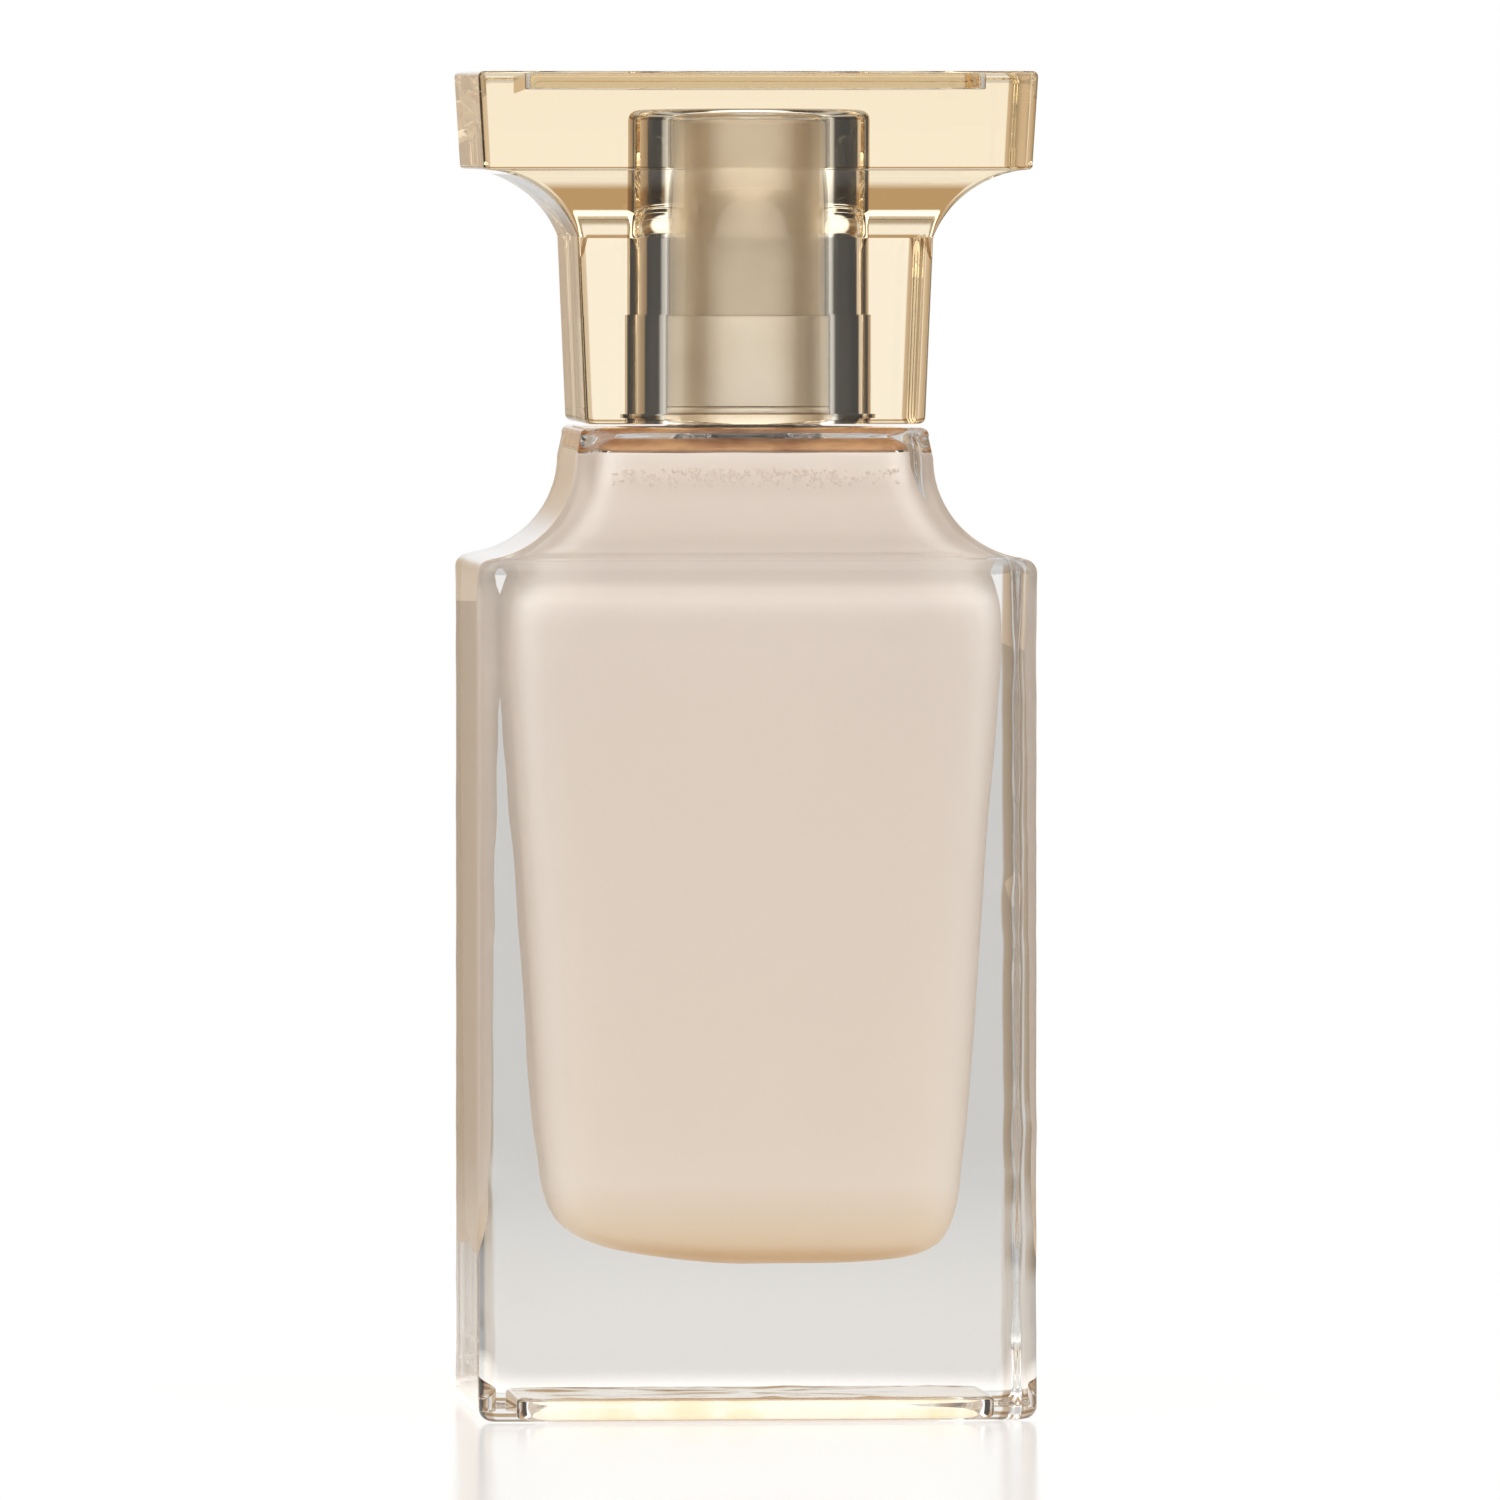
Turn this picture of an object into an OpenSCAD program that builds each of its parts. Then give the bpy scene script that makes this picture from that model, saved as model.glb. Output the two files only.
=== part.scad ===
// Foundation bottle: thick-walled rectangular glass bottle, press-down treatment pump with a
// metal-sheathed actuator, and a flared clear overcap. Millimetres, +Z up, front is -Y,
// origin at the middle of the base.

/* [Glass bottle] */
// Width of the glass body
body_w = 48.4; // [47:0.2:52]
// Depth of the glass body
body_d = 33; // [31:0.5:38]
// Height at which the shoulder meets the body
shoulder_z = 74.4; // [60:0.2:90]
// Radius of the hollow shoulder curve
shoulder_r = 8.6; // [8:0.1:8.6]
// How far the shoulder steps in at the front and back
front_step = 3.5; // [2.5:0.1:3.5]
// Height of the glass block above the shoulder curve
block_h = 2.7; // [2.4:0.1:4]
// Radius of the body's upright edges
body_edge_r = 1.5; // [0.8:0.1:2.5]
// Glass under the cavity
base_glass = 13.2; // [8:0.2:16]

/* [Foundation] */
// Air left above the foundation
fill_gap = 1.1; // [0.8:0.1:2]

/* [Pump] */
// Travel of the actuator
stroke = 4.2; // [3:0.1:4.2]
// Lead of the neck thread
thread_lead = 3; // [2.6:0.1:3.4]
// Height of the glass neck above the block
neck_h = 10.8; // [10.4:0.1:11.2]
// Outer radius of the actuator shell
actuator_r = 9.9; // [9.8:0.05:9.9]
// Height of the actuator shell
actuator_h = 18.1; // [17.8:0.1:18.2]

/* [Overcap] */
// Gap between the cap and the glass block
cap_gap = 0.3; // [0.2:0.1:0.6]
// Height of the cap
cap_h = 30.5; // [30.2:0.1:33]
// Radius of the bore over the actuator
bore_r = 10.5; // [10.45:0.05:10.6]
// Radius of the bore over the collar
mouth_r = 10.7; // [10.65:0.05:10.9]
// Width of the inlaid top plate
top_plate_w = 39.6; // [30:0.2:40]

/* [Hidden] */
$fn = 96;
eps = 0.01;
corner_steps = 5;

// Levels of the glass
arc_top_z = shoulder_z + shoulder_r;
glass_top_z = arc_top_z + block_h;
neck_top_z = glass_top_z + neck_h;
block_hx = body_w / 2 - 0.1 - shoulder_r;
block_hy = body_d / 2 - front_step;
block_draft = 0.4;
heel_r = 1.3;
top_edge_r = 1.2;
recess_depth = 1.9;

// Glass cavity
cavity_top_z = arc_top_z + 1.7;
cavity_bottom_rise = 9;
neck_bore_r = 4.2;
neck_root_r = 6.5;
thread_h = 0.8;
thread_turns = 1.5;
thread_root_half = 0.65;
thread_crest_half = 0.35;
thread_offset = 1.2;
glass_thread_z = glass_top_z + 3.5;

// Pump stack, from the glass neck up
gasket_t = 0.7;
flange_t = 1;
flange_z = neck_top_z + gasket_t;
flange_top_z = flange_z + flange_t;
housing_r = 3.6;
housing_bore_r = 2.9;
housing_bottom_z = neck_top_z - 20.1;
tail_r = 2.3;
tail_h = 5.4;
tube_r = 1.5;
tube_bore_r = 0.9;
spring_seat_z = housing_bottom_z + 3.6;
spring_h = 8.3;
spring_r = 2.3;
wire_r = 0.28;
spring_turns = 6;
stem_r = 1.9;
stem_bore_r = 1.1;
stem_bottom_z = spring_seat_z + spring_h;
stem_top_z = flange_top_z + 9.8;
piston_h = 3.4;
inlet_ball_r = 1.3;
inlet_seat_r = 0.9;
inlet_seat_h = 1.3;
inlet_seat_z = housing_bottom_z + 0.8;
inlet_chamber_r = inlet_ball_r + 0.2;
inlet_slope = atan((inlet_chamber_r - inlet_seat_r) / inlet_seat_h);
inlet_ball_z = inlet_seat_z - inlet_seat_r / tan(inlet_slope) + inlet_ball_r / sin(inlet_slope) + 0.02;
outlet_ball_r = 0.85;
outlet_port_r = 0.55;
outlet_seat_z = stem_top_z - 2.2;
outlet_ball_z = outlet_seat_z + sqrt(pow(outlet_ball_r, 2) - pow(outlet_port_r, 2)) + 0.02;
guide_top_z = flange_top_z + 2.4;
guide_bottom_z = stem_bottom_z + 0.6 + piston_h + 0.1;

// Collar
closure_r = 9.1;
closure_bore_r = 7.6;
closure_z = glass_top_z + 0.8;
closure_flange_h = 2.1;
closure_lid_z = flange_top_z + 0.1;
closure_lid_t = 1.3;
collar_r = 10.4;
collar_t = 0.3;
collar_z = glass_top_z + 1.05;
collar_top_z = glass_top_z + 9.7;
bead_r = 0.4;

// Actuator
shell_t = 0.4;
actuator_z = collar_top_z - 1;
actuator_top_z = actuator_z + actuator_h;
insert_z = guide_top_z + 4;
insert_wall = 0.85;
socket_z = stem_top_z - 2.6;
nozzle_z = stem_top_z + 1.1;
nozzle_r = 1.5;

// Overcap
cap_z = glass_top_z + cap_gap;
cap_top_z = cap_z + cap_h;
flare_r = 9.1;
flare_lean = 1.75;
flare_front = front_step - 0.75;
flare_start = 21.3;
flare_end = 84;
plate_h = 8.5;
plate_z = cap_top_z - plate_h;
flare_centre_x = body_w / 2 - 0.3;
flare_centre_z = plate_z - flare_r;
cap_block_hx = flare_centre_x - flare_r * cos(flare_start);
cap_block_hy = block_hy + 0.1;
bore_top_z = actuator_top_z + 0.9;
pocket_depth = 1.5;
pocket_gap = 0.15;
top_plate_t = 1.1;
retainer_r = mouth_r + 0.35;

// ---- Lofted shells: rows are [height, half width, half depth, corner radius] ----

// One closed loop of points, a rectangle with round corners
function ring(row) = [
    for (corner = [0:3], k = [0:corner_steps])
        let (
            turn = 90 * corner + 90 * k / corner_steps,
            sx = (corner == 0 || corner == 3) ? 1 : -1,
            sy = corner < 2 ? 1 : -1
        )
        [
            sx * (row[1] - row[3]) + row[3] * cos(turn),
            sy * (row[2] - row[3]) + row[3] * sin(turn),
            row[0]
        ]
];

// A tube swept along rows of points, each row one closed loop; both ends are flat
module skin(rows) {
    n = len(rows[0]);
    last = len(rows) - 1;
    polyhedron(
        points = [for (row = rows) each row],
        faces = [
            [for (j = [0:n - 1]) j],
            [for (j = [0:n - 1]) last * n + n - 1 - j],
            for (i = [0:last - 1], j = [0:n - 1])
                let (a = i * n + j, b = i * n + (j + 1) % n)
                each [[a, a + n, b + n], [a, b + n, b]]
        ]
    );
}

module loft(rows) {
    skin([for (row = rows) ring(row)]);
}

// Section of a thread, from its root to its crest
function thread_section(root_r, crest_r) = [
    [root_r, -thread_root_half], [crest_r, -thread_crest_half],
    [crest_r, thread_crest_half], [root_r, thread_root_half]
];

// Helical rib that rises by one lead each turn and fades in and out at its ends
module thread_rib(root_r, crest_r, z0) {
    steps = 40;
    skin([
        for (i = [0:steps])
            let (
                turns = thread_turns * i / steps,
                fade = max(0.15, min(1, 8 * turns, 8 * (thread_turns - turns)))
            )
            [
                for (s = thread_section(root_r, root_r + (crest_r - root_r) * fade))
                    [
                        s[0] * cos(360 * turns), s[0] * sin(360 * turns),
                        z0 + thread_lead * turns + s[1]
                    ]
            ]
    ]);
}

// Interrupted thread: short lugs along the same helix
module thread_lugs(root_r, crest_r, z0) {
    pitch_angle = 27;
    for (i = [0:360 * thread_turns / pitch_angle - 1])
        translate([0, 0, z0 + thread_lead * (i + 0.5) * pitch_angle / 360])
            rotate([0, 0, i * pitch_angle])
                rotate_extrude(angle = 23)
                    polygon(thread_section(root_r, crest_r));
}

// Flat slab with round corners, standing on z0
module slab(w, d, r, z0, h) {
    translate([0, 0, z0])
        linear_extrude(h) {
            square([w - 2 * r, d], center = true);
            square([w, d - 2 * r], center = true);
            for (sx = [-1, 1], sy = [-1, 1])
                translate([sx * (w / 2 - r), sy * (d / 2 - r)]) circle(r);
        }
}

module rod(r, z0, z1) {
    translate([0, 0, z0]) cylinder(r = r, h = z1 - z0);
}

module tube(r_out, r_in, z0, z1) {
    difference() {
        rod(r_out, z0, z1);
        rod(r_in, z0 - eps, z1 + eps);
    }
}

// ---- Bottle ----

function glass_rows() = [
    for (a = [0:15:90])
        let (in = heel_r * (1 - sin(a)))
        [heel_r * (1 - cos(a)), body_w / 2 - in, body_d / 2 - in, body_edge_r - 0.7 * in],
    for (a = [0:20:80])
        let (in = top_edge_r * (1 - cos(a)))
        [
            shoulder_z - top_edge_r + top_edge_r * sin(a),
            body_w / 2 - in, body_d / 2 - 0.6 * in, body_edge_r
        ],
    for (b = [8:8.2:90])
        [
            arc_top_z - shoulder_r * cos(b),
            body_w / 2 - 0.1 - shoulder_r * sin(b),
            body_d / 2 - 0.1 - (front_step - 0.1) * sin(b),
            body_edge_r
        ],
    [glass_top_z - 0.7, block_hx - block_draft, block_hy - block_draft / 2, body_edge_r],
    for (a = [30:30:90])
        let (in = 0.7 * (1 - cos(a)) + block_draft)
        [
            glass_top_z - 0.7 + 0.7 * sin(a),
            block_hx - in, block_hy - in + block_draft / 2, body_edge_r - 0.4
        ]
];

// The cavity widens upwards, so the glass is thickest round its foot.
// grow is added to every wall.
function cavity_rows(top, grow) = [
    for (a = [8, 18, 30, 42, 54, 66, 78, 90])
        let (k = pow(sin(a), 0.45))
        [
            base_glass - grow + cavity_bottom_rise * (1 - cos(a)),
            18 * k + grow, 10.7 * k + grow, 4.6 * k
        ],
    [base_glass + 14.5, 18.7 + grow, 11.1 + grow, 4.6],
    [base_glass + 32, 19.8 + grow, 11.9 + grow, 4.4],
    [shoulder_z - 12, 21.1 + grow, 12.7 + grow, 4],
    for (a = [0:22.5:90])
        [
            shoulder_z - 5.2 + 2.6 * sin(a) + grow,
            21.3 - 0.5 * (1 - cos(a)) + grow, 12.8 - 0.9 * (1 - cos(a)) + grow, 3.6
        ],
    [shoulder_z - 1.4, 20.5 + grow, 11.7 + grow, 3.5],
    [shoulder_z - 0.5, 19.7 + grow, 11.6 + grow, 3.4],
    [shoulder_z + 0.5, 18.2 + grow, 11.4 + grow, 3.4],
    [shoulder_z + 1.6, 17 + grow, 11.3 + grow, 3.2],
    [shoulder_z + 2.9, 15.9 + grow, 11.1 + grow, 3],
    [shoulder_z + 4.4, 15 + grow, 10.9 + grow, 2.8],
    [shoulder_z + 6, 14.2 + grow, 10.6 + grow, 2.6],
    [top - 1.2, 13.5 + grow, 10.3 + grow, 2.5],
    for (a = [30:30:90])
        let (in = 1.2 * (1 - cos(a)))
        [top - 1.2 + 1.2 * sin(a), 13.5 - in + grow, 10.3 - in + grow, 2.2 - in]
];

module glass_bottle() {
    color([0.93, 0.94, 0.93, 0.35])
        difference() {
            union() {
                loft(glass_rows());
                rod(neck_root_r, glass_top_z - 0.5, neck_top_z);
                thread_rib(neck_root_r - 0.2, neck_root_r + thread_h, glass_thread_z);
            }
            loft(cavity_rows(cavity_top_z, 0));
            rod(neck_bore_r, cavity_top_z - 1, neck_top_z + eps);
            slab(body_w - 7, body_d - 7, 2.5, -eps, recess_depth + eps);
        }
}

module foundation_fill() {
    wall_gap = 0.05;
    color([0.87, 0.79, 0.7])
        difference() {
            loft(cavity_rows(cavity_top_z - fill_gap, -wall_gap));
            rod(tube_r + wall_gap, 0, cavity_top_z);
            rod(tail_r + wall_gap, housing_bottom_z - tail_h - wall_gap, cavity_top_z);
            rod(housing_r + wall_gap, housing_bottom_z - wall_gap, cavity_top_z);
        }
}

module shade_label() {
    color([0.86, 0.76, 0.58])
        slab(body_w - 7.6, body_d - 7.6, 2.2, recess_depth - 0.2, 0.19);
}

// ---- Pump ----

module neck_gasket() {
    color([0.93, 0.92, 0.88]) tube(neck_root_r - 0.1, housing_r + 0.2, neck_top_z + 0.04, flange_z - 0.02);
}

module pump_housing() {
    color([0.95, 0.95, 0.94])
        difference() {
            union() {
                rod(neck_root_r - 0.2, flange_z, flange_top_z);
                rod(housing_r, housing_bottom_z, flange_top_z);
                rod(tail_r, housing_bottom_z - tail_h, housing_bottom_z + eps);
            }
            rod(housing_bore_r, spring_seat_z, flange_top_z + eps);
            // ball chamber, its cone-shaped seat and the lip that keeps the ball in
            rod(inlet_ball_r - 0.2, inlet_ball_z, spring_seat_z + eps);
            rod(inlet_chamber_r, inlet_seat_z + inlet_seat_h, spring_seat_z - 0.4);
            translate([0, 0, inlet_seat_z])
                cylinder(r1 = inlet_seat_r, r2 = inlet_chamber_r, h = inlet_seat_h + eps);
            rod(inlet_seat_r, housing_bottom_z - 0.4, inlet_seat_z + eps);
            rod(tube_r + 0.02, housing_bottom_z - tail_h - eps, housing_bottom_z - 0.3);
        }
}

module inlet_ball() {
    color([0.75, 0.76, 0.78]) translate([0, 0, inlet_ball_z]) sphere(inlet_ball_r);
}

// Round wire coil; its ends lie flat against the seat and the stem
module return_spring() {
    steps = 18 * spring_turns;
    sides = 6;
    rows = [
        for (i = [0:steps])
            let (
                a = 360 * spring_turns * i / steps,
                z = spring_seat_z + wire_r + 0.02
                    + (spring_h - 2 * wire_r - 0.04) * i / steps
            )
            [
                for (j = [0:sides - 1])
                    let (
                        r = spring_r + wire_r * cos(360 * j / sides),
                        rise = wire_r * sin(360 * j / sides)
                    )
                    [r * cos(a), r * sin(a), z + rise]
            ]
    ];
    color([0.8, 0.81, 0.83])
        polyhedron(
            points = [for (row = rows) each row],
            faces = [
                [for (j = [0:sides - 1]) j],
                [for (j = [sides - 1:-1:0]) steps * sides + j],
                for (i = [0:steps - 1], j = [0:sides - 1])
                    let (a = i * sides + j, b = i * sides + (j + 1) % sides)
                    each [[a, a + sides, b + sides], [a, b + sides, b]]
            ]
        );
}

module pump_piston() {
    color([0.96, 0.96, 0.95])
        difference() {
            rod(housing_bore_r - 0.03, stem_bottom_z + 0.6, stem_bottom_z + 0.6 + piston_h);
            rod(stem_r + 0.02, stem_bottom_z, stem_bottom_z + 0.7 + piston_h);
            // the waist between the two wiping lips
            translate([0, 0, stem_bottom_z + 1.5])
                tube(housing_bore_r + 1, housing_bore_r - 0.3, 0, piston_h - 1.8);
        }
}

module pump_stem() {
    color([0.94, 0.94, 0.93])
        difference() {
            union() {
                rod(stem_r, stem_bottom_z + 0.5, stem_top_z);
                rod(housing_bore_r - 0.2, stem_bottom_z, stem_bottom_z + 0.55);
            }
            rod(stem_bore_r, outlet_seat_z, stem_top_z + eps);
            rod(outlet_port_r, stem_bottom_z + 4.6, outlet_seat_z + eps);
            // cross port that lets the foundation in above the piston
            translate([0, 0, stem_bottom_z + 5.2])
                rotate([90, 0, 0]) cylinder(r = 0.5, h = 2 * stem_r + 1, center = true);
        }
}

module outlet_ball() {
    color([0.75, 0.76, 0.78])
        translate([0, 0, outlet_ball_z]) sphere(outlet_ball_r);
}

module stem_guide() {
    color([0.92, 0.92, 0.9])
        difference() {
            union() {
                rod(4.3, flange_top_z + 0.02, guide_top_z);
                rod(housing_bore_r - 0.04, guide_bottom_z, flange_top_z + 0.1);
            }
            rod(stem_r + 0.08, guide_bottom_z - eps, guide_top_z + eps);
        }
}

module dip_tube() {
    color([0.95, 0.95, 0.95, 0.6]) tube(tube_r, tube_bore_r, base_glass + 1.6, housing_bottom_z - 0.32);
}

// ---- Collar ----

module threaded_closure() {
    color([0.94, 0.93, 0.9]) {
        difference() {
            union() {
                rod(closure_r, closure_z, closure_lid_z + closure_lid_t);
                rod(collar_r - collar_t - 0.02, closure_z, closure_z + closure_flange_h);
            }
            rod(closure_bore_r, closure_z - eps, closure_lid_z);
            rod(4.5, closure_lid_z - eps, closure_lid_z + closure_lid_t + eps);
        }
        thread_lugs(closure_bore_r + 0.2, closure_bore_r - thread_h, glass_thread_z - thread_offset);
    }
}

module collar_shell() {
    color([0.88, 0.81, 0.71])
        rotate_extrude()
            difference() {
                union() {
                    translate([collar_r - collar_t, collar_z])
                        square([collar_t, collar_top_z - collar_z]);
                    translate([collar_r - bead_r + 0.1, collar_z + bead_r]) circle(bead_r);
                }
                translate([collar_r - collar_t - 2, collar_z - 1]) square([2, 12]);
            }
}

// ---- Actuator ----

module actuator_insert() {
    outer = actuator_r - shell_t - 0.03;
    lid_z = actuator_top_z - shell_t - 0.02;
    color([0.93, 0.9, 0.84])
        difference() {
            union() {
                tube(outer, outer - insert_wall, insert_z, lid_z);
                rod(outer - 0.1, lid_z - 1.4, lid_z);
                rod(3.2, socket_z, lid_z);
                translate([0, 0, nozzle_z])
                    rotate([-90, 0, 0]) cylinder(r = 2.2, h = outer - 0.3);
            }
            rod(stem_r + 0.03, socket_z - eps, stem_top_z + 0.05);
            rod(0.8, stem_top_z, nozzle_z);
            translate([0, 0, nozzle_z]) {
                rotate([-90, 0, 0]) cylinder(r = 0.7, h = outer + 1);
                translate([0, outer - 2.4, 0])
                    rotate([-90, 0, 0]) cylinder(r = nozzle_r + 0.02, h = 4);
            }
        }
}

module actuator_shell() {
    edge = 0.5;
    color([0.88, 0.81, 0.71])
        difference() {
            rotate_extrude()
                polygon([
                    [actuator_r - shell_t, actuator_z],
                    [actuator_r, actuator_z],
                    for (a = [0:15:90])
                        [
                            actuator_r - edge + edge * cos(a),
                            actuator_top_z - edge + edge * sin(a)
                        ],
                    [0, actuator_top_z],
                    [0, actuator_top_z - shell_t],
                    [actuator_r - shell_t, actuator_top_z - shell_t]
                ]);
            translate([0, 0, nozzle_z])
                rotate([-90, 0, 0]) cylinder(r = nozzle_r + 0.1, h = 12);
        }
}

module nozzle_insert() {
    outer = actuator_r - shell_t - 0.03;
    color([0.93, 0.9, 0.84])
        translate([0, outer - 2.38, nozzle_z])
            rotate([-90, 0, 0])
                difference() {
                    cylinder(r = nozzle_r, h = 3.1);
                    translate([0, 0, -eps]) cylinder(r = 0.5, h = 4);
                }
}

// ---- Overcap ----

function cap_rows() = [
    for (a = [0:30:90])
        let (in = 0.6 * (1 - sin(a)))
        [cap_z + 0.6 * (1 - cos(a)), cap_block_hx - 0.65 - in, cap_block_hy - 0.4 - in, 0.9 - 0.5 * in],
    for (i = [0:9])
        let (
            e = flare_start + (flare_end - flare_start) * i / 9,
            out = flare_r * (cos(flare_start) - cos(e)),
            rise = (sin(e) - sin(flare_start)) / (sin(flare_end) - sin(flare_start))
        )
        [
            flare_centre_z + flare_r * sin(e),
            cap_block_hx + out,
            cap_block_hy + flare_lean * rise + (flare_front - flare_lean) * pow(rise, 3),
            0.7
        ],
    [plate_z + 0.25, body_w / 2 - 0.45, body_d / 2 - 0.4, 0.7],
    [cap_top_z - 0.5, body_w / 2, body_d / 2, 0.8],
    for (a = [30:30:90])
        let (in = 0.5 * (1 - cos(a)))
        [cap_top_z - 0.5 + 0.5 * sin(a), body_w / 2 - in, body_d / 2 - in, 0.8 - in]
];

// The stepped bore, its upper end with a rounded edge
module cap_bore() {
    edge = 0.9;
    step_z = collar_top_z + 0.1;
    rotate_extrude()
        polygon([
            [0, cap_z - 1],
            [mouth_r, cap_z - 1],
            [mouth_r, step_z],
            [bore_r, step_z],
            for (a = [0:15:90])
                [bore_r - edge + edge * cos(a), bore_top_z - edge + edge * sin(a)],
            [0, bore_top_z]
        ]);
}

module overcap() {
    color([0.96, 0.88, 0.72, 0.35])
        difference() {
            loft(cap_rows());
            cap_bore();
            // seat of the retaining ring
            rod(retainer_r + 0.05, cap_z - 1, cap_z + 0.9);
            slab(
                top_plate_w + 2 * pocket_gap, body_d - 9.5 + 2 * pocket_gap, 1,
                cap_top_z - pocket_depth, pocket_depth + 1
            );
        }
}

module cap_top_plate() {
    color([0.88, 0.81, 0.71])
        slab(top_plate_w, body_d - 9.5, 0.85, cap_top_z - pocket_depth + 0.1, top_plate_t);
}

module cap_retaining_ring() {
    inner = collar_r + 0.18;
    low = cap_z + 0.05;
    high = cap_z + 0.85;
    color([0.9, 0.84, 0.75])
        rotate_extrude()
            polygon([
                [retainer_r, low], [retainer_r, high], [inner + 0.2, high],
                for (a = [60:-30:-60])
                    [inner + 0.2 - 0.2 * cos(a), (low + high) / 2 + 0.35 * sin(a)],
                [inner + 0.2, low]
            ]);
}

glass_bottle();
foundation_fill();
shade_label();
neck_gasket();
pump_housing();
inlet_ball();
return_spring();
pump_piston();
pump_stem();
outlet_ball();
stem_guide();
dip_tube();
threaded_closure();
collar_shell();
actuator_insert();
actuator_shell();
nozzle_insert();
overcap();
cap_top_plate();
cap_retaining_ring();
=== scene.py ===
import math
import bpy
import bmesh
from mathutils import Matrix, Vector, noise


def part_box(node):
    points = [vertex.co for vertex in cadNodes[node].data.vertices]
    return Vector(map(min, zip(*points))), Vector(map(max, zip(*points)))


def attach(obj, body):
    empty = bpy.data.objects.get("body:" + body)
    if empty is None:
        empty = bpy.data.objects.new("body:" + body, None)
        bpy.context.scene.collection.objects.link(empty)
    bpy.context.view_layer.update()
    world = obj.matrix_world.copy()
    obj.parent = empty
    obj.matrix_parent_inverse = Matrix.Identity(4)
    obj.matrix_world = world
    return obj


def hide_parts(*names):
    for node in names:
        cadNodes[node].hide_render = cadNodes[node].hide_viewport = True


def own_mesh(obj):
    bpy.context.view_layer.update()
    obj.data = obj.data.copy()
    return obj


noise.seed_set(7)      # else the vector noise starts from the clock, and each run draws other waves
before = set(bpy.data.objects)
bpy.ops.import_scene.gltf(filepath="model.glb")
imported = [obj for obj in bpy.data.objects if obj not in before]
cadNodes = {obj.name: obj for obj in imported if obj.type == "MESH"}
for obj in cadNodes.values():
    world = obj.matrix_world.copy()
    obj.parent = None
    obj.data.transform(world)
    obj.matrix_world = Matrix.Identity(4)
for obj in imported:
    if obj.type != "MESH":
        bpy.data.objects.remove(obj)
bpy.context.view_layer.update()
print("frame loaded:", len(cadNodes), "CAD nodes")

ringCorner = 8      # points on each rounded corner of a four-sided ring
ringFlat = 32       # points on each flat of a four-sided ring
ringCount = 4 * (ringCorner + ringFlat)


def mm(value):
    return value / 1000.0


def box(node):
    low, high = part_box(node)
    return [v * 1000 for v in low], [v * 1000 for v in high]


# meshes

def rectRing(z, halfX, halfY, radius):
    # a rectangle with round corners, counter-clockwise seen from above, in mm
    points = []
    corners = [(1, 1), (-1, 1), (-1, -1), (1, -1)]
    for i, (sx, sy) in enumerate(corners):
        cx, cy = sx * (halfX - radius), sy * (halfY - radius)
        for k in range(ringCorner):
            a = math.radians(90 * i + 90 * k / (ringCorner - 1))
            points.append((cx + radius * math.cos(a), cy + radius * math.sin(a), z))
        nx, ny = corners[(i + 1) % 4]
        ex, ey = nx * (halfX - radius), ny * (halfY - radius)
        a = math.radians(90 * (i + 1))
        ox, oy = radius * math.cos(a), radius * math.sin(a)
        for k in range(ringFlat):
            t = 0.006 + 0.988 * k / (ringFlat - 1)   # close to the corners, so that the flat stays flat
            points.append((cx + (ex - cx) * t + ox, cy + (ey - cy) * t + oy, z))
    return points


def roundRing(z, radius):
    # a circle with as many points, in step with rectRing
    points = []
    for i in range(ringCount):
        a = 2 * math.pi * (i - ringCorner / 2 + 0.5) / ringCount + math.pi / 4
        points.append((radius * math.cos(a), radius * math.sin(a), z))
    return points


def finishMesh(name, bm, material, smooth=True, sharp=None):
    mesh = bpy.data.meshes.new(name)
    bm.to_mesh(mesh)
    bm.free()
    if smooth:
        mesh.shade_smooth()
    if sharp:
        mesh.set_sharp_from_angle(angle=math.radians(sharp))
    mesh.materials.append(material)
    obj = bpy.data.objects.new(name, mesh)
    bpy.context.scene.collection.objects.link(obj)
    return obj


def skinRings(name, rings, material, closeStart=True, closeEnd=True, sharp=None):
    # rings in mm; the end rings close on a middle point, or the last ring meets the first
    bm = bmesh.new()
    loops = [[bm.verts.new([mm(c) for c in p]) for p in ring] for ring in rings]
    for a, b in zip(loops, loops[1:]):
        n = len(a)
        for i in range(n):
            bm.faces.new((a[i], a[(i + 1) % n], b[(i + 1) % n], b[i]))
    for loop, close in ((loops[0], closeStart), (loops[-1], closeEnd)):
        if not close:
            continue
        middle = bm.verts.new(sum((v.co for v in loop), Vector()) / len(loop))
        for i in range(len(loop)):
            bm.faces.new((loop[i], middle, loop[(i + 1) % len(loop)]))
    bmesh.ops.remove_doubles(bm, verts=bm.verts, dist=1e-8)
    bmesh.ops.recalc_face_normals(bm, faces=bm.faces)
    return finishMesh(name, bm, material, sharp=sharp)


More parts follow.
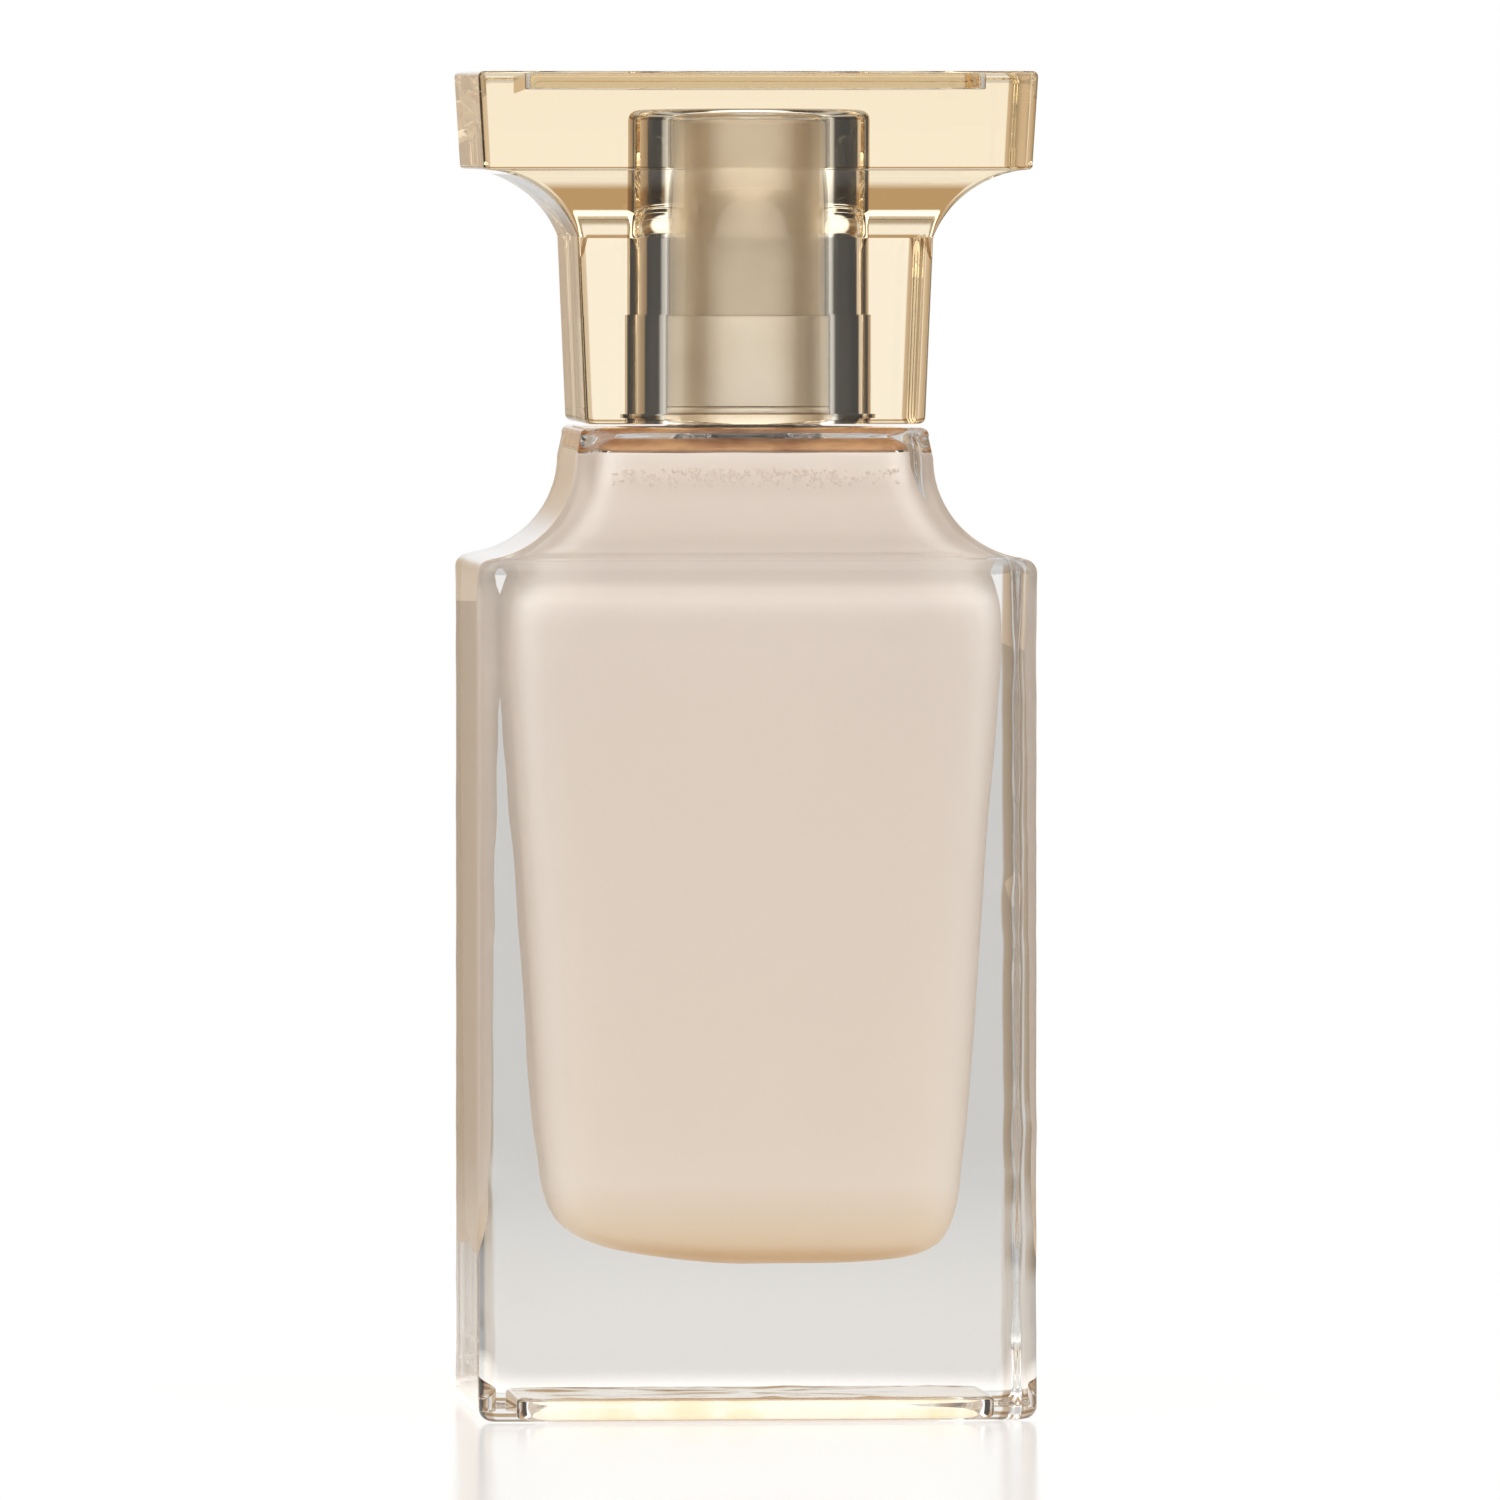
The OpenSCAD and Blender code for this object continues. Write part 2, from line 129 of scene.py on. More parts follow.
def lathe(name, profile, material, segments=256, sharp=40, axis="Z", centre=(0, 0, 0)):
    # profile is a closed loop of (radius, height) in mm; points at radius 0 close on the axis
    bm = bmesh.new()
    rows = []
    for r, z in profile:
        if r < 1e-6:
            rows.append([bm.verts.new((0, 0, mm(z)))])
        else:
            rows.append([
                bm.verts.new((mm(r) * math.cos(a), mm(r) * math.sin(a), mm(z)))
                for a in (2 * math.pi * i / segments for i in range(segments))
            ])
    for a, b in zip(rows, rows[1:] + rows[:1]):
        if len(a) == 1 and len(b) == 1:
            continue
        for i in range(segments):
            j = (i + 1) % segments
            if len(a) == 1:
                bm.faces.new((a[0], b[j], b[i]))
            elif len(b) == 1:
                bm.faces.new((a[i], a[j], b[0]))
            else:
                bm.faces.new((a[i], a[j], b[j], b[i]))
    bmesh.ops.recalc_face_normals(bm, faces=bm.faces)
    for v in bm.verts:
        if axis == "Y":
            v.co = Vector((v.co.x, v.co.z, -v.co.y))
        v.co += Vector([mm(c) for c in centre])
    return finishMesh(name, bm, material, sharp=sharp)


def arc(cx, cz, radius, start, end, steps):
    # points of a circle's arc in the (radius, height) plane, angles in degrees
    return [
        (cx + radius * math.cos(math.radians(start + (end - start) * i / steps)),
         cz + radius * math.sin(math.radians(start + (end - start) * i / steps)))
        for i in range(steps + 1)
    ]


def spline(rows, perSpan):
    # Catmull-Rom through rows of numbers
    out = []
    for i in range(len(rows) - 1):
        p0, p1, p2, p3 = rows[max(i - 1, 0)], rows[i], rows[i + 1], rows[min(i + 2, len(rows) - 1)]
        for k in range(perSpan):
            t = k / perSpan
            out.append([
                0.5 * (2 * b + (c - a) * t + (2 * a - 5 * b + 4 * c - d) * t * t
                    + (3 * b - a - 3 * c + d) * t ** 3)
                for a, b, c, d in zip(p0, p1, p2, p3)
            ])
    out.append(list(rows[-1]))
    return out


# materials

def hexColor(text, alpha=1.0):
    out = []
    for i in (1, 3, 5):
        c = int(text[i:i + 2], 16) / 255
        out.append(c / 12.92 if c <= 0.04045 else ((c + 0.055) / 1.055) ** 2.4)
    return (*out, alpha)


def addNode(tree, kind, inputs=None, **settings):
    node = tree.nodes.new(kind)
    for key, value in settings.items():
        setattr(node, key, value)
    for key, value in (inputs or {}).items():
        socket = node.inputs[key]
        if isinstance(value, bpy.types.NodeSocket):
            tree.links.new(value, socket)
        else:
            socket.default_value = value
    return node


def newMaterial(name):
    material = bpy.data.materials.new(name)
    material.use_nodes = True
    tree = material.node_tree
    tree.nodes.clear()
    coords = addNode(tree, "ShaderNodeTexCoord").outputs["Object"]
    output = addNode(tree, "ShaderNodeOutputMaterial")
    return material, tree, coords, output


def patternScale(size):
    # how often a pattern of this size in mm fits into a metre
    return 1000 / size


def ramp(tree, factor, stops):
    node = addNode(tree, "ShaderNodeValToRGB", {"Fac": factor})
    elements = node.color_ramp.elements
    while len(elements) < len(stops):
        elements.new(0.5)
    for element, (place, color) in zip(elements, stops):
        element.position, element.color = place, color
    return node.outputs["Color"]


glassLook = {
    "ior": 1.52, "waveSize": 7.0, "waveHeight": 0.002, "bump": 0.25, "roughness": 0.012, "tint": "#F7F6F4",
    "absorbColor": "#E4E1DC", "absorb": 9.0,
}


def flintGlass():
    # clear flint glass, pressed and fire-polished: sharp reflections with a very slow wave in them
    material, tree, coords, output = newMaterial("flintGlass")
    wave = addNode(tree, "ShaderNodeTexNoise",
        {"Vector": coords, "Scale": patternScale(glassLook["waveSize"]), "Detail": 1.0})
    bump = addNode(tree, "ShaderNodeBump",
        {"Height": wave.outputs["Fac"], "Strength": glassLook["bump"],
         "Distance": mm(glassLook["waveHeight"])})
    rough = addNode(tree, "ShaderNodeMapRange",
        {"Value": wave.outputs["Fac"], "To Min": 0.0, "To Max": glassLook["roughness"]})
    shader = addNode(tree, "ShaderNodeBsdfPrincipled", {
        "Base Color": hexColor(glassLook["tint"]), "Roughness": rough.outputs["Result"],
        "IOR": glassLook["ior"], "Transmission Weight": 1.0, "Normal": bump.outputs["Normal"]})
    body = addNode(tree, "ShaderNodeVolumeAbsorption",
        {"Color": hexColor(glassLook["absorbColor"]), "Density": glassLook["absorb"]})
    tree.links.new(shader.outputs["BSDF"], output.inputs["Surface"])
    tree.links.new(body.outputs["Volume"], output.inputs["Volume"])
    return material


acrylicLook = {
    "ior": 1.49, "waveSize": 11.11, "roughness": 0.012, "tint": "#FFFDF8", "absorbRed": 0.93,
    "absorbGreen": 0.65, "absorbBlue": 0.07, "absorb": 14.0, "inlayAbsorb": 30.0,
}


def honeyAcrylic(name, density):
    # cast acrylic with a light honey dye: the longer the way through it, the deeper the honey
    material, tree, coords, output = newMaterial(name)
    wave = addNode(tree, "ShaderNodeTexNoise",
        {"Vector": coords, "Scale": patternScale(acrylicLook["waveSize"]), "Detail": 1.0})
    rough = addNode(tree, "ShaderNodeMapRange",
        {"Value": wave.outputs["Fac"], "To Min": 0.0, "To Max": acrylicLook["roughness"]})
    shader = addNode(tree, "ShaderNodeBsdfPrincipled", {
        "Base Color": hexColor(acrylicLook["tint"]), "Roughness": rough.outputs["Result"],
        "IOR": acrylicLook["ior"], "Transmission Weight": 1.0})
    body = addNode(tree, "ShaderNodeVolumeAbsorption", {
        "Color": (acrylicLook["absorbRed"], acrylicLook["absorbGreen"], acrylicLook["absorbBlue"], 1),
        "Density": density})
    tree.links.new(shader.outputs["BSDF"], output.inputs["Surface"])
    tree.links.new(body.outputs["Volume"], output.inputs["Volume"])
    return material


metalLook = {
    "color": "#CCC0AF", "deep": "#C4B6A3", "pale": "#D3CBC0", "paleDeep": "#CBC1B4",
    "ringColor": "#EFE6D8", "ringDeep": "#E4D7C4", "cloudSize": 6.25, "drawSize": 8.333, "drawStretch": 30,
    "roughLow": 0.48, "roughHigh": 0.56,
}


def champagneAluminium(name, color, deep):
    # aluminium, drawn, satin-finished and anodised champagne gold: broad soft highlights
    material, tree, coords, output = newMaterial(name)
    cloud = addNode(tree, "ShaderNodeTexNoise", {
        "Vector": coords, "Scale": patternScale(metalLook["cloudSize"]), "Detail": 3.0})
    tint = ramp(tree, cloud.outputs["Fac"], [(0.3, hexColor(deep)), (0.7, hexColor(color))])
    stretch = addNode(tree, "ShaderNodeMapping", {
        "Vector": coords, "Scale": (1, 1, metalLook["drawStretch"])})
    draw = addNode(tree, "ShaderNodeTexNoise", {
        "Vector": stretch.outputs["Vector"], "Scale": patternScale(metalLook["drawSize"]), "Detail": 2.0})
    rough = addNode(tree, "ShaderNodeMapRange", {
        "Value": draw.outputs["Fac"], "To Min": metalLook["roughLow"], "To Max": metalLook["roughHigh"]})
    shader = addNode(tree, "ShaderNodeBsdfPrincipled", {
        "Base Color": tint, "Metallic": 1.0, "Roughness": rough.outputs["Result"]})
    tree.links.new(shader.outputs["BSDF"], output.inputs["Surface"])
    return material


# from the foot up, by share of the height: painted shade at the foot where the cream's floor faces down, a
# lower tone where that shade fades, middle and upper tones, painted shade on the shoulder where it tilts
# up, and a lighter neck tone
fillTonesAndShade = [
    (0.0, "#D8AF76"), (0.035, "#E8D3B6"), (0.11, "#F4EADF"), (0.75, "#F4EBE3"), (0.87, "#E2D8CF"),
    (0.955, "#F6EEE7"),
]
fillLook = {"footZ": 13, "topZ": 85, "cloudSize": 25.0, "cloudDrift": 0.001, "roughness": 0.4}


def liquidFoundation():
    # opaque pigment cream against glass: even and soft, with painted shade at the foot and on the shoulder
    material, tree, coords, output = newMaterial("liquidFoundation")
    split = addNode(tree, "ShaderNodeSeparateXYZ", {"Vector": coords})
    cloud = addNode(tree, "ShaderNodeTexNoise",
        {"Vector": coords, "Scale": patternScale(fillLook["cloudSize"]), "Detail": 2.0})
    drift = addNode(tree, "ShaderNodeMath",
        {0: cloud.outputs["Fac"], 1: fillLook["cloudDrift"], 2: split.outputs["Z"]},
        operation="MULTIPLY_ADD")
    height = addNode(tree, "ShaderNodeMapRange", {
        "Value": drift.outputs["Value"], "From Min": mm(fillLook["footZ"]),
        "From Max": mm(fillLook["topZ"])})
    # the height ramp paints shade: deeper and more amber at the foot, greyer on the shoulder
    tint = ramp(tree, height.outputs["Result"], [(place, hexColor(color)) for place, color in fillTonesAndShade])
    shader = addNode(tree, "ShaderNodeBsdfPrincipled", {
        "Base Color": tint, "Roughness": fillLook["roughness"]})
    tree.links.new(shader.outputs["BSDF"], output.inputs["Surface"])
    return material


filmLook = {
    "pale": "#D9A874", "deep": "#A8703C", "runSize": 3.846, "runStretch": 2.5, "bump": 0.6,
    "bumpHeight": 0.2,
    "roughness": 0.25,
}


def driedCream():
    # the thin film left on the glass above the cream: amber, deeper where it has run together
    material, tree, coords, output = newMaterial("driedCream")
    stretch = addNode(tree, "ShaderNodeMapping", {
        "Vector": coords, "Scale": (1, 1, filmLook["runStretch"])})
    runs = addNode(tree, "ShaderNodeTexNoise", {
        "Vector": stretch.outputs["Vector"], "Scale": patternScale(filmLook["runSize"]), "Detail": 3.0})
    tint = ramp(tree, runs.outputs["Fac"],
        [(0.35, hexColor(filmLook["deep"])), (0.62, hexColor(filmLook["pale"]))])
    bump = addNode(tree, "ShaderNodeBump", {
        "Height": runs.outputs["Fac"], "Strength": filmLook["bump"],
        "Distance": mm(filmLook["bumpHeight"])})
    shader = addNode(tree, "ShaderNodeBsdfPrincipled", {
        "Base Color": tint, "Roughness": filmLook["roughness"], "Normal": bump.outputs["Normal"]})
    tree.links.new(shader.outputs["BSDF"], output.inputs["Surface"])
    return material


goldLook = {
    "brown": "#8A6028", "amber": "#D8AC64", "gold": "#F8E6BC", "pale": "#FFF6E4", "runSize": 4.348,
    "runStretch": 0.35, "backStart": 2, "backEnd": 12.5, "backDepth": 0.36,
    "metallic": 0.9, "roughness": 0.09,
}


def goldFilm():
    # pale gold film under the glass, with brown runs of adhesive that thicken towards the back edge
    material, tree, coords, output = newMaterial("paleGoldFilm")
    stretch = addNode(tree, "ShaderNodeMapping", {
        "Vector": coords, "Scale": (1, goldLook["runStretch"], 1)})
    runs = addNode(tree, "ShaderNodeTexNoise", {
        "Vector": stretch.outputs["Vector"], "Scale": patternScale(goldLook["runSize"]), "Detail": 4.0})
    split = addNode(tree, "ShaderNodeSeparateXYZ", {"Vector": coords})
    back = addNode(tree, "ShaderNodeMapRange", {
        "Value": split.outputs["Y"], "From Min": mm(goldLook["backStart"]),
        "From Max": mm(goldLook["backEnd"]), "To Max": goldLook["backDepth"]},
        interpolation_type="SMOOTHSTEP")
    depth = addNode(tree, "ShaderNodeMath", {0: runs.outputs["Fac"], 1: back.outputs["Result"]},
        operation="SUBTRACT")
    tint = ramp(tree, depth.outputs["Value"], [
        (0.06, hexColor(goldLook["brown"])), (0.17, hexColor(goldLook["amber"])),
        (0.34, hexColor(goldLook["gold"])), (0.58, hexColor(goldLook["pale"]))])
    shader = addNode(tree, "ShaderNodeBsdfPrincipled", {
        "Base Color": tint, "Roughness": goldLook["roughness"], "Metallic": goldLook["metallic"]})
    tree.links.new(shader.outputs["BSDF"], output.inputs["Surface"])
    return material


plasticLook = {"cloudSize": 4.0, "bump": 0.2, "grainHeight": 0.01}


def mouldedPlastic(name, color, deep, roughness, grain=0.25):
    # injection-moulded polypropylene: waxy, with a fine spark-eroded grain
    material, tree, coords, output = newMaterial(name)
    cloud = addNode(tree, "ShaderNodeTexNoise",
        {"Vector": coords, "Scale": patternScale(plasticLook["cloudSize"]), "Detail": 2.0})
    tint = ramp(tree, cloud.outputs["Fac"], [(0.35, hexColor(deep)), (0.65, hexColor(color))])
    texture = addNode(tree, "ShaderNodeTexNoise",
        {"Vector": coords, "Scale": patternScale(grain), "Detail": 1.0})
    bump = addNode(tree, "ShaderNodeBump", {
        "Height": texture.outputs["Fac"], "Strength": plasticLook["bump"],
        "Distance": mm(plasticLook["grainHeight"])})
    shader = addNode(tree, "ShaderNodeBsdfPrincipled", {
        "Base Color": tint, "Roughness": roughness, "Normal": bump.outputs["Normal"]})
    tree.links.new(shader.outputs["BSDF"], output.inputs["Surface"])
    return material


steelLook = {"color": "#D2D2D3", "deep": "#B9BABC", "markSize": 1.111, "roughLow": 0.18, "roughHigh": 0.3}


def drawnSteel():
    # stainless wire and balls: bright, with fine draw marks
    material, tree, coords, output = newMaterial("drawnSteel")
    marks = addNode(tree, "ShaderNodeTexNoise",
        {"Vector": coords, "Scale": patternScale(steelLook["markSize"]), "Detail": 2.0})
    tint = ramp(tree, marks.outputs["Fac"],
        [(0.3, hexColor(steelLook["deep"])), (0.7, hexColor(steelLook["color"]))])
    rough = addNode(tree, "ShaderNodeMapRange", {
        "Value": marks.outputs["Fac"], "To Min": steelLook["roughLow"], "To Max": steelLook["roughHigh"]})
    shader = addNode(tree, "ShaderNodeBsdfPrincipled",
        {"Base Color": tint, "Metallic": 1.0, "Roughness": rough.outputs["Result"]})
    tree.links.new(shader.outputs["BSDF"], output.inputs["Surface"])
    return material


flint = flintGlass()
acrylic = honeyAcrylic("honeyAcrylic", acrylicLook["absorb"])
champagne = champagneAluminium("champagneAluminium", metalLook["color"], metalLook["deep"])
paleChampagne = champagneAluminium("paleChampagneAluminium", metalLook["pale"], metalLook["paleDeep"])
silverGold = champagneAluminium("silverGoldAluminium", metalLook["ringColor"], metalLook["ringDeep"])
foundation = liquidFoundation()
whitePlastic = mouldedPlastic("whitePolypropylene", "#F0F0EC", "#E8E8E3", 0.35)
creamPlastic = mouldedPlastic("creamPolypropylene", "#EFE3CF", "#E6D8C1", 0.3)
gasketFoam = mouldedPlastic("gasketFoam", "#F2F0EA", "#E4E1D8", 0.8, 0.4)
tubePlastic = mouldedPlastic("extrudedTube", "#F2F3F2", "#E9EBEA", 0.25)
labelFilm = goldFilm()
dried = driedCream()
deepAcrylic = honeyAcrylic("inlayAcrylic", acrylicLook["inlayAbsorb"])
steel = drawnSteel()
print("materials made")

# glass bottle

glassLow, glassHigh = box("glass_bottle")
labelLow, labelHigh = box("shade_label")
bottle = {
    "halfX": (glassHigh[0] - glassLow[0]) / 2, "halfY": (glassHigh[1] - glassLow[1]) / 2,
    "shoulderZ": 74.4, "arcRadius": 8.6, "frontStep": 3.5, "blockHeight": 2.7, "blockEdge": 0.7,
    "draft": 0.4,
    "edge": 1.5, "edgeWave": 0.16, "edgeReach": 2.4, "edgeStart": 2, "edgeFade": 4, "heel": 1.3,
    "topEdge": 1.2, "topLean": 84, "hollowStart": 8,
    "neckRadius": 6.5, "boreRadius": 4.2, "boreEdge": 0.3, "neckEdge": 0.4, "neckTop": glassHigh[2],
    "boreFoot": 85.2, "recess": labelHigh[2] + 0.01, "recessInset": 3.5, "recessEdge": 2.5,
    "ceilingInset": 0.4, "ceilingWave": 0.16, "cavityWave": 0.12,
}


def glassOuter(b):
    hx, hy, edge = b["halfX"], b["halfY"], b["edge"]
    rows = []
    for i in range(9):
        a = math.radians(90 * i / 8)
        inset = b["heel"] * (1 - math.sin(a))
        rows.append((b["heel"] * (1 - math.cos(a)), hx - inset, hy - inset, edge - 0.7 * inset))
    rows.append((b["heel"] + 0.15, hx, hy, edge))
    for i in range(1, 60):
        rows.append((b["heel"] + (b["shoulderZ"] - b["topEdge"] - b["heel"]) * i / 60, hx, hy, edge))
    rows.append((b["shoulderZ"] - b["topEdge"] - 0.15, hx, hy, edge))
    for i in range(9):
        a = math.radians(b["topLean"] * i / 8)
        inset = b["topEdge"] * (1 - math.cos(a))
        rows.append((b["shoulderZ"] - b["topEdge"] * (1 - math.sin(a)), hx - inset, hy - 0.6 * inset, edge))
    for i in range(25):
        a = math.radians(b["hollowStart"] + (90 - b["hollowStart"]) * i / 24)
        rows.append((
            b["shoulderZ"] + b["arcRadius"] * (1 - math.cos(a)), hx - 0.1 - b["arcRadius"] * math.sin(a),
            hy - 0.1 - (b["frontStep"] - 0.1) * math.sin(a), edge))
    top = b["shoulderZ"] + b["arcRadius"] + b["blockHeight"]
    bx, by = rows[-1][1], rows[-1][2]
    rows.append((top - b["blockEdge"] - 0.1, bx - b["draft"], by - b["draft"] / 2, edge))
    for i in range(7):
        a = math.radians(90 * i / 6)
        inset = b["blockEdge"] * (1 - math.cos(a)) + b["draft"]
        rows.append((top - b["blockEdge"] * (1 - math.sin(a)), bx - inset, by - inset + b["draft"] / 2,
            edge - 0.4))
    return rows, top


# the cavity, from its floor up: height, half width, half depth, corner radius
cavityRows = [
    (13.2, 1.0, 0.8, 0.5), (13.22, 5.0, 3.2, 1.6), (13.35, 9.5, 6.0, 2.6), (13.8, 13.2, 8.2, 3.4),
    (14.8, 15.7, 9.7, 4.0), (16.4, 16.95, 10.3, 4.4), (18.6, 17.65, 10.6, 4.6), (21.5, 18.05, 10.8, 4.6),
    (27.7, 18.7, 11.1, 4.6), (45.2, 19.8, 11.9, 4.4), (62.4, 21.1, 12.7, 4.0), (67.5, 21.3, 12.8, 3.7),
    (70.2, 21.2, 12.65, 3.6), (71.4, 20.95, 12.2, 3.6), (72.2, 20.75, 11.85, 3.5), (73.0, 20.45, 11.7, 3.5),
    (73.9, 19.6, 11.6, 3.4), (74.9, 18.2, 11.4, 3.4), (76.0, 17.0, 11.3, 3.2), (77.3, 15.9, 11.1, 3.0),
    (78.8, 15.0, 10.9, 2.8), (80.4, 14.2, 10.6, 2.6), (82.2, 13.65, 10.35, 2.4), (83.5, 13.45, 10.25, 2.3),
    (84.3, 12.9, 9.7, 2.0), (84.7, 11.8, 8.8, 1.6),
]


# the floor stands a little higher on one side; the walls wave slowly, with a quicker wave on top
cavityLook = {
    "tiltTop": 24, "tiltFade": 10, "tiltRise": 1.7, "tiltStart": 1, "tiltReach": 17, "tiltCurve": 1.3,
    "slow": 0.16, "slowUp": 0.11, "quick": 0.5, "quickUp": 0.35, "quickOffset": 40, "quickShare": 0.35,
}


def cavityRings(grow, wave, low=0.0, high=100.0):
    c = cavityLook
    rings = []
    for z, hx, hy, r in spline(cavityRows, 5):
        if not low <= z <= high:
            continue
        ring = rectRing(z, max(hx + grow, 0.3), max(hy + grow, 0.3),
            min(max(r, 0.2), hx + grow - 0.05, hy + grow - 0.05))
        moved = []
        for x, y, zz in ring:
            foot = max(0.0, min(1.0, (c["tiltTop"] - zz) / c["tiltFade"]))
            side = max(0.0, min(1.0, (-x - c["tiltStart"]) / c["tiltReach"]))
            lift = c["tiltRise"] * foot * side ** c["tiltCurve"]
            n = noise.noise_vector(Vector((x * c["slow"], y * c["slow"], zz * c["slowUp"])))
            m = noise.noise_vector(Vector((x * c["quick"], y * c["quick"],
                zz * c["quickUp"] + c["quickOffset"])))
            moved.append((
                x + wave * (n.x + c["quickShare"] * m.x), y + 0.5 * wave * (n.y + c["quickShare"] * m.y),
                zz + lift + 0.5 * wave * n.z))
        rings.append(moved)
    return rings


def recessRing(b, z, out):
    # one ring of the recess's wall, moved out by so much
    inset = b["recessInset"]
    return rectRing(z, b["halfX"] - inset + out, b["halfY"] - inset + out, b["recessEdge"])


def recessCeiling(b, inset, rise):
    # the underside of the glass, pressed a little unevenly; rings from the middle out
    rings = []
    for share in (0.15, 0.35, 0.55, 0.72, 0.84, 0.92, 0.97, 1.0):
        ring = rectRing(b["recess"], (b["halfX"] - inset) * share, (b["halfY"] - inset) * share,
            b["recessEdge"] * share)
        rings.append([
            (x, y, z + rise + b["ceilingWave"] * noise.noise(Vector((x * 0.35, y * 0.2, 7.0)))
                * min(1.0, (1 - share) * 12 + 0.15))
            for x, y, z in ring])
    return rings


def unevenEdges(b, ring):
    # the upright edges stay a little uneven from the mould; they only ever move inwards
    moved = []
    for x, y, z in ring:
        near = max(0.0, 1 - math.hypot(b["halfX"] - abs(x), b["halfY"] - abs(y)) / b["edgeReach"])
        level = max(0.0, min(1.0, (z - b["edgeStart"]) / b["edgeFade"],
            (b["shoulderZ"] - 1 - z) / b["edgeFade"]))
        rough = noise.noise(Vector((math.copysign(9, x), math.copysign(5, y), z * 0.22)))
        fine = noise.noise(Vector((math.copysign(9, x), math.copysign(5, y), z * 0.8)))
        shift = b["edgeWave"] * near * level * (1 + rough + 0.4 * fine)
        moved.append((x - math.copysign(shift, x), y - math.copysign(0.6 * shift, y), z))
    return moved


def buildBottle(b):
    rows, top = glassOuter(b)
    recess = recessCeiling(b, b["recessInset"] + b["ceilingInset"], 0)
    recess += [recessRing(b, z, out) for z, out in (
        (b["recess"] - 0.08, -0.12), (b["recess"] - 0.3, 0), (0.2, 0), (0.05, 0.06), (0, 0.2))]
    inner = cavityRings(0, b["cavityWave"])
    rings = recess + [unevenEdges(b, rectRing(*row)) for row in rows]
    neck, neckTop, bore = b["neckRadius"], b["neckTop"], b["boreRadius"]
    neckEdge, boreEdge = b["neckEdge"], b["boreEdge"]
    rings += [roundRing(top, neck + 0.4), roundRing(top + 0.1, neck + 0.1), roundRing(top + 0.35, neck)]
    rings += [roundRing(top + 0.35 + (neckTop - top - 0.8) * i / 6, neck) for i in range(1, 7)]
    rings += [roundRing(z, r) for r, z in arc(neck - neckEdge, neckTop - neckEdge, neckEdge, 15, 90, 5)]
    rings += [roundRing(z, r) for r, z in arc(bore + boreEdge, neckTop - boreEdge, boreEdge, 90, 180, 5)]
    rings += [roundRing(neckTop - 0.5 - (neckTop - 0.5 - b["boreFoot"]) * i / 6, bore) for i in range(7)]
    rings += [roundRing(b["boreFoot"] - 0.35, bore + 0.5)]
    rings += inner[::-1]
    return skinRings("bottleGlass", rings, flint)


bottleGlass = buildBottle(bottle)
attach(bottleGlass, "bottle")
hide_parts("glass_bottle")
print("bottle made")

# foundation

fill = {"into": 0.06, "wave": bottle["cavityWave"], "level": 83.62}
tubeLow, tubeHigh = box("dip_tube")
pumpRoom = {
    "gap": 0.06, "tube": tubeHigh[0], "tail": 2.3, "housing": 3.6,
    "housingFoot": tubeHigh[2] + 0.32, "tailFoot": box("pump_housing")[0][2], "tubeFoot": tubeLow[2],
}


def roomRings(b, top):
    # the liquid leaves room for the pump and its tube, from the surface down
    gap = b["gap"]
    rings = [roundRing(top, b["housing"] + gap)]
    for foot, above, below in (("housingFoot", "housing", "tail"), ("tailFoot", "tail", "tube")):
        rings += [roundRing(b[foot] - gap, b[above] + gap), roundRing(b[foot] - gap, b[below] + gap)]
    return rings + [roundRing(b["tubeFoot"] - gap, b["tube"] + gap)]


def buildFoundation(f):
    rings = cavityRings(f["into"], f["wave"], high=f["level"])
    return skinRings("foundationBody", rings + roomRings(pumpRoom, rings[-1][0][2]), foundation)


def buildFilm(f):
    rings = cavityRings(f["into"] - 0.01, f["wave"], low=f["level"])
    room = pumpRoom["housing"] + pumpRoom["gap"]
    foot, roof = roundRing(rings[0][0][2], room), roundRing(rings[-1][0][2], room)
    return skinRings("foundationFilm", [foot, *rings, roof, foot], dried, closeStart=False, closeEnd=False)


foundationBody = buildFoundation(fill)
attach(foundationBody, "bottle")
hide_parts("foundation_fill")
foundationFilm = buildFilm(fill)
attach(foundationFilm, "bottle")
print("foundation made")

label = {"inset": 0.42, "rise": 0.03, "corner": 2.2, "edge": 0.05}
shadeLabel = skinRings("shadeLabel",
    recessCeiling(bottle, bottle["recessInset"] + label["inset"], label["rise"]) + [
        rectRing(labelLow[2] + label["edge"], labelHigh[0], labelHigh[1], label["corner"]),
        rectRing(labelLow[2], labelHigh[0] - label["edge"], labelHigh[1] - label["edge"], label["corner"]),
    ], labelFilm)
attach(shadeLabel, "bottle")
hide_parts("shade_label")
print("label made")

# pieces made with geometry nodes

def nodeTree(name, sockets):
    tree = bpy.data.node_groups.new(name, "GeometryNodeTree")
    ids = {}
    tree.interface.new_socket("Geometry", in_out="INPUT", socket_type="NodeSocketGeometry")
    for label, kind, value in sockets:
        item = tree.interface.new_socket(label, in_out="INPUT", socket_type=kind)
        item.default_value = value
        ids[label] = item.identifier
    tree.interface.new_socket("Geometry", in_out="OUTPUT", socket_type="NodeSocketGeometry")
    return tree, addNode(tree, "NodeGroupInput"), addNode(tree, "NodeGroupOutput"), ids


def bakeTree(name, source, tree, ids, values, material):
    holder = bpy.data.objects.new(name + "Maker", source)
    bpy.context.scene.collection.objects.link(holder)
    modifier = holder.modifiers.new(name, "NODES")
    modifier.node_group = tree
    for label, value in values.items():
        modifier[ids[label]] = value
    depsgraph = bpy.context.evaluated_depsgraph_get()
    mesh = bpy.data.meshes.new_from_object(holder.evaluated_get(depsgraph))
    bpy.data.objects.remove(holder)
    mesh.name = name
    mesh.materials.clear()
    mesh.materials.append(material)
    obj = bpy.data.objects.new(name, mesh)
    bpy.context.scene.collection.objects.link(obj)
    return obj


